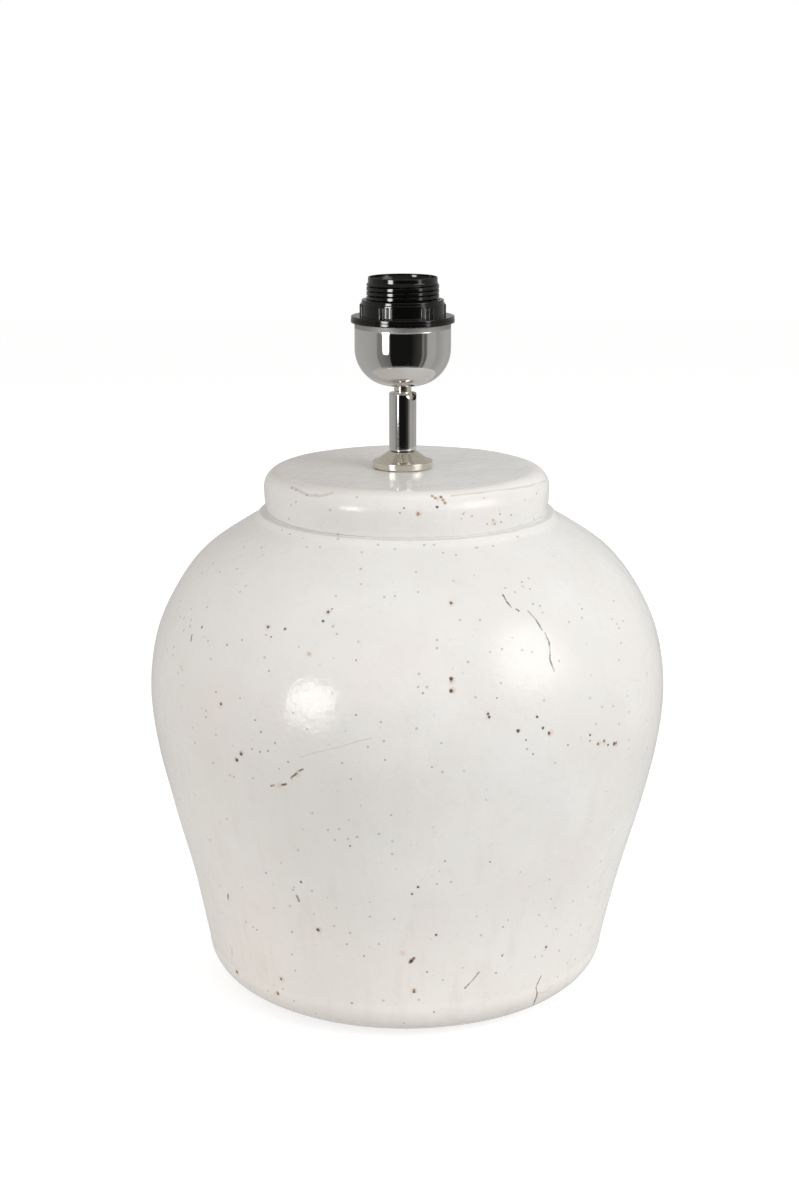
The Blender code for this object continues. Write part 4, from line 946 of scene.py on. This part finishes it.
def make_sleeve():
    low, high = heights("outer_sleeve")
    bottom = heights("cup")[1] + 0.3
    web = heights("holder_cap")[1] + 0.3
    hold = heights("screw_shell")[0]
    outer, inner, skirt_inner, skirt_outer, edge = 19.1, 17.9, 20.8, 22.6, 28.6
    flange = bottom + 1.7
    thread_high = high - 2.9
    pitch, depth, root, start = 2.5, 0.85, 0.2, 0.14
    below_thread = [
        (skirt_inner, low), (skirt_outer, low), (skirt_outer, bottom), (edge - 0.2, bottom),
        (edge - 0.05, bottom + 0.05), (edge, bottom + 0.2), (edge, bottom + 0.3), (edge, flange - 0.22),
        (edge, flange - 0.12), (edge - 0.04, flange - 0.04), (edge - 0.12, flange), (edge - 0.3, flange),
    ]
    lip = (
        (0, 2.0), (0, 0.6), (0, 0.45), (0.06, 0.24), (0.2, 0.07), (0.4, 0), (0.56, 0.06), (0.7, 0.26),
        (0.7, 0.4), (0.7, 3.0), (0.85, 3.2),
    )
    above_thread = [(outer - into, high - down) for into, down in lip] + [
        (inner, high - 6.0), (inner, web + 2.2), (inner - 1.1, web + 1.1), (inner - 1.1, hold),
        (inner - 0.3, hold), (inner - 0.3, web), (skirt_inner, web),
    ]

    def outline(angle):
        rows = []
        for height, turns, whole in thread(flange, thread_high, pitch, angle, 16, -start):
            crest = min(1.0, 1.8 * abs(cos(pi * turns)))
            grown = (depth + root) * crest * (1.6 - 0.6 * crest) - root
            rows.append((outer + grown * whole, height))
        return below_thread + rows + above_thread

    sleeve = turned("threaded_sleeve", outline, 144, sharp=radians(42))
    dress(sleeve, "lampholder", "resin", "outer_sleeve")


def add_rib(shape, place, radius, low, high):
    """Upright grip rib: a half-round bar with a domed top."""
    sides, dome = 12, 6
    levels = [(radius * 1.35, low), (radius, low + 0.35), (radius, high - radius)]
    for step in range(1, dome):
        angle = pi / 2 * step / dome
        levels.append((radius * cos(angle), high - radius + radius * sin(angle)))
    loops = []
    for bar, height in levels:
        turns = [2 * pi * side / sides for side in range(sides)]
        spots = [Vector((bar * cos(turn), bar * sin(turn), height)) for turn in turns]
        loops.append([shape.verts.new((place @ spot) * MM) for spot in spots])
    for below, above in zip(loops, loops[1:]):
        for side in range(sides):
            after = (side + 1) % sides
            shape.faces.new((below[side], below[after], above[after], above[side]))
    shape.faces.new(loops[0])
    tip = shape.verts.new((place @ Vector((0, 0, high))) * MM)
    for side in range(sides):
        shape.faces.new((loops[-1][side], loops[-1][(side + 1) % sides], tip))


def make_ring():
    low, high = heights("shade_ring")
    bore, flange, collar, step = 20.25, 28.45, 23.0, 22.6
    foot = low - 0.1
    shoulder = low + 8.7
    corners = [
        (bore, foot, 0.2), (flange, foot, 0.12), (flange, low + 1.7, 0.6), (collar + 0.1, low + 1.75, 0.35),
        (collar, shoulder, 0.35), (step, shoulder + 0.25, 0.15), (step, high, 0.55), (bore, high, 0.45),
    ]
    ring = turned("ribbed_ring", rounded(corners, 1.4, 4), 168)
    shape = bmesh.new()
    for group in range(6):
        for number in range(4):
            angle = radians(-114.0 + 60.0 * group + 6.0 * (number - 1.5))
            place = Matrix.Translation((collar * cos(angle), collar * sin(angle), 0))
            add_rib(shape, place, 0.75, low + 1.2, low + 8.1)
    carve(ring, mesh_object("ring_ribs", shape), "UNION")
    dress(ring, "shade_ring", "resin", "shade_ring")


def make_shell():
    """Brass shell rolled to the lamp's thread."""
    low, high = heights("screw_shell")
    crest, depth, pitch, wall = 13.2, 1.0, 3.63, 0.6

    def outline(angle):
        inside = []
        for height, turns, whole in thread(low, high, pitch, angle, 12):
            inside.append((crest - depth * (0.5 - 0.5 * cos(2 * pi * turns)) * whole, height))
        return inside[::-1] + [(radius + wall, height) for radius, height in inside]

    shell = turned("rolled_shell", outline, 112, sharp=radians(60))
    dress(shell, "lampholder", "brass", "screw_shell")


def make_block():
    low, high = heights("contact_block")
    base, outer, inner, screw_hole = 17.9, 16.3, 14.1, 1.65
    step = low + 6.0
    corners = [
        (0.02, low), (base, low, 0.6), (base, step, 0.3), (outer, step, 0.3), (outer, high, 0.7),
        (inner, high, 0.5), (inner, step, 0.4), (0.02, step),
    ]
    block = turned("steatite_block", rounded(corners, 1.5), 112)
    for across, along, bottom, top in (
        (0, 9.0, low - 3, low + 2.7), (0, -9.0, low - 3, low + 2.7), (-7.5, 0, step - 3.6, step + 3),
    ):
        hole = drill("hole_tool", screw_hole, bottom, top, 28)
        hole.matrix_world = Matrix.Translation((across * MM, along * MM, 0))
        carve(block, hole)
    dress(block, "lampholder", "steatite", "contact_block")


def finish_kept_nodes():
    for finish, nodes in KEPT_NODES.items():
        for node in nodes.split():
            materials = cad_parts[node].data.materials
            materials.clear()
            materials.append(FINISH[finish])


# Studio

WHITE = (1.0, 1.0, 1.0)

# Name, place, height aimed at, size, radiance, even share of the half width, colour, kind of ray that misses it
LAMPS = (
    ("left_box", (-1.25, -1.45, 0.45), 0.3, (0.62, 0.76), 10.0, 0.7, (1.0, 0.99, 0.978), "glossy"),
    ("left_shine", (-1.21, -1.4, 0.43), 0.3, (0.6, 0.82), 6.6, 0.66, (1.0, 0.995, 0.985), "diffuse"),
    ("back_fill", (0.3, 1.9, 1.0), 0.25, (1.6, 1.6), 1.2, 0.5, WHITE, "glossy"),
    ("resin_glint", (-1.17, -1.36, 0.42), 0.38, (0.6, 0.8), 20.0, 0.6, WHITE, "diffuse"),
    ("resin_sheen", (1.5, -0.94, 0.42), 0.38, (0.42, 0.8), 3.6, 0.6, WHITE, "diffuse"),
    ("right_box", (1.5, -0.9, 1.06), 0.22, (1.5, 1.5), 3.2, 0.35, (1.0, 0.998, 0.992), None),
    ("right_fill", (1.55, -1.0, 0.8), 0.22, (1.5, 1.5), 4.5, 0.35, WHITE, "glossy"),
    ("left_fill", (-1.5, -0.8, 0.4), 0.2, (1.0, 1.0), 2.0, 0.5, (1.0, 0.97, 0.93), "glossy"),
)
RESIN_LAMPS = ("resin_glint", "resin_sheen")
RESIN_PIECES = ("threaded_sleeve", "ribbed_ring")

# Brightness of the studio's walls by direction, in degrees from the viewer's side towards the right
WALL_TONES = (
    (-180, 0.54), (-150, 0.48), (-122, 0.5), (-66, 0.43), (-62, 0.25), (-52, 0.24), (-46, 0.21), (-31, 0.16),
    (-30, 0.01), (20, 0.01), (34, 0.035), (45, 0.055), (48, 0.22), (51, 0.24), (54, 0.12), (57, 0.14),
    (62, 0.48), (84, 0.49), (88, 0.42), (125, 0.53), (152, 0.45), (179, 0.54),
)
CEILING = (0.46, 0.45, 0.435)
STUDIO_EYE = 0.35       # height from which the ceiling's slope is measured
STUDIO_SIZE = 3.4
TABLE = (0.66, 0.65, 0.635)
SEEN_FLOOR = (0.42, 0.42, 0.42)


def make_lamp(name, place, aimed, size, radiance, core, colour, missed):
    """Soft box whose light fades towards its edges."""
    lamp = bpy.data.lights.new(name, "AREA")
    lamp.shape = "RECTANGLE"
    lamp.size, lamp.size_y = size
    lamp.energy = radiance * pi * size[0] * size[1]
    lamp.color = colour
    lamp.use_nodes = True
    nodes = Nodes(lamp.node_tree)
    spot = nodes.vector("SUBTRACT", nodes.node("NewGeometry").outputs["Parametric"], (0.5, 0.5, 0.0))
    strength = nodes.step(nodes.from_axis(spot), 0.5 + 0.2 * core, 0.5 * core)
    nodes.feed(nodes.tree.nodes["Emission"].inputs["Strength"], strength)
    thing = added(name, lamp)
    thing.location = place
    thing.rotation_euler = (Vector((0, 0, aimed)) - Vector(place)).to_track_quat("-Z", "Y").to_euler()
    thing.visible_camera = False
    if missed:
        setattr(thing, "visible_" + missed, False)
    return thing


def make_lamps():
    """Two of the lamps light only the black resin of the lampholder."""
    resin = bpy.data.collections.new("black_parts")
    for name in RESIN_PIECES:
        resin.objects.link(bpy.data.objects[name])
    for row in LAMPS:
        lamp = make_lamp(*row)
        if row[0] in RESIN_LAMPS:
            lamp.light_linking.receiver_collection = resin


def fresh_nodes(owner):
    """The emptied node tree of a material or world."""
    owner.use_nodes = True
    owner.node_tree.nodes.clear()
    return Nodes(owner.node_tree)


def studio_colour(nodes):
    """Colour of the studio as polished parts show it, and the distance from the object's axis."""
    place = nodes.node("NewGeometry").outputs["Position"]
    across, along, up = nodes.split(place)
    turn = nodes.math("ARCTAN2", across, nodes.times(along, -1.0))
    ramp = nodes.node("ValToRGB", {0: nodes.math("ADD", nodes.math("DIVIDE", turn, 2 * pi), 0.5)})
    stops = ramp.color_ramp.elements
    stops.remove(stops[1])
    for index, (angle, value) in enumerate(WALL_TONES):
        stop = stops.new(angle / 360 + 0.5) if index else stops[0]
        stop.position = angle / 360 + 0.5
        stop.color = (value, value * 0.985, value * 0.955, 1.0)
    away = nodes.from_axis(place)
    slope = nodes.math("DIVIDE", nodes.math("SUBTRACT", up, STUDIO_EYE), away)
    return nodes.mix(nodes.step(slope, 0.02, 0.08), ramp.outputs[0], CEILING), away


def make_walls():
    """Studio walls and ceiling. Only polished parts see them, so they shade nothing."""
    shape = bmesh.new()
    bmesh.ops.create_uvsphere(shape, u_segments=64, v_segments=32, radius=STUDIO_SIZE)
    bmesh.ops.delete(shape, geom=[vertex for vertex in shape.verts if vertex.co.z < -0.02], context="VERTS")
    walls = mesh_object("studio_walls", shape)
    material = bpy.data.materials.new("studio_walls")
    nodes = fresh_nodes(material)
    colour, _ = studio_colour(nodes)
    nodes.node("OutputMaterial", {0: nodes.out("Emission", {"Color": colour})})
    walls.data.materials.append(material)
    for ray in ("camera", "diffuse", "shadow", "transmission", "volume_scatter"):
        setattr(walls, "visible_" + ray, False)


def make_floor():
    """Pale floor. To the camera it is white and keeps the object's shadow; polished parts see the studio's."""
    shape = bmesh.new()
    bmesh.ops.create_grid(shape, x_segments=8, y_segments=8, size=STUDIO_SIZE)
    floor = mesh_object("floor", shape)
    material = bpy.data.materials.new("pale_floor")
    nodes = fresh_nodes(material)
    path = nodes.node("LightPath").outputs
    colour, away = studio_colour(nodes)
    colour = nodes.mix(nodes.step(away, 0.42, 0.26), colour, TABLE)

    # The lift to white stops under the jar, so that its hollow stays dark through the cable outlet
    lift = nodes.out("Emission", {"Strength": nodes.step(away, 0.074, 0.082, 0.0, 0.74)})
    seen = nodes.out("AddShader", {0: nodes.out("BsdfDiffuse", {"Color": SEEN_FLOOR}), 1: lift})
    matt = nodes.out("BsdfDiffuse", {"Color": colour})
    faced = nodes.mix_shaders(path["Is Camera Ray"], matt, seen)
    faced = nodes.mix_shaders(path["Is Glossy Ray"], faced, nodes.out("Emission", {"Color": colour}))
    under = nodes.node("NewGeometry").outputs["Backfacing"]
    nodes.node("OutputMaterial", {0: nodes.mix_shaders(under, faced, nodes.out("BsdfTransparent"))})
    floor.data.materials.append(material)


def make_world():
    """Soft light, and white to the camera and in reflections."""
    world = bpy.data.worlds.new("studio")
    bpy.context.scene.world = world
    nodes = fresh_nodes(world)
    path = nodes.node("LightPath").outputs
    seen = nodes.most(nodes.most(path["Is Camera Ray"], path["Is Glossy Ray"]), path["Is Transmission Ray"])
    soft = nodes.out("Background", {"Color": (1.0, 0.995, 0.985), "Strength": 0.57})
    white = nodes.out("Background", {"Color": WHITE})
    nodes.node("OutputWorld", {0: nodes.mix_shaders(seen, soft, white)})
    bpy.context.scene.view_settings.view_transform = "Standard"


make_camera()
make_ceramic()
make_pads()
make_bush()
make_rod()
make_washers()
make_nut()
make_rosette()
make_housing()
make_ball_stud()
make_cup()
make_sleeve()
make_ring()
make_shell()
make_block()
finish_kept_nodes()
make_lamps()
make_walls()
make_floor()
make_world()
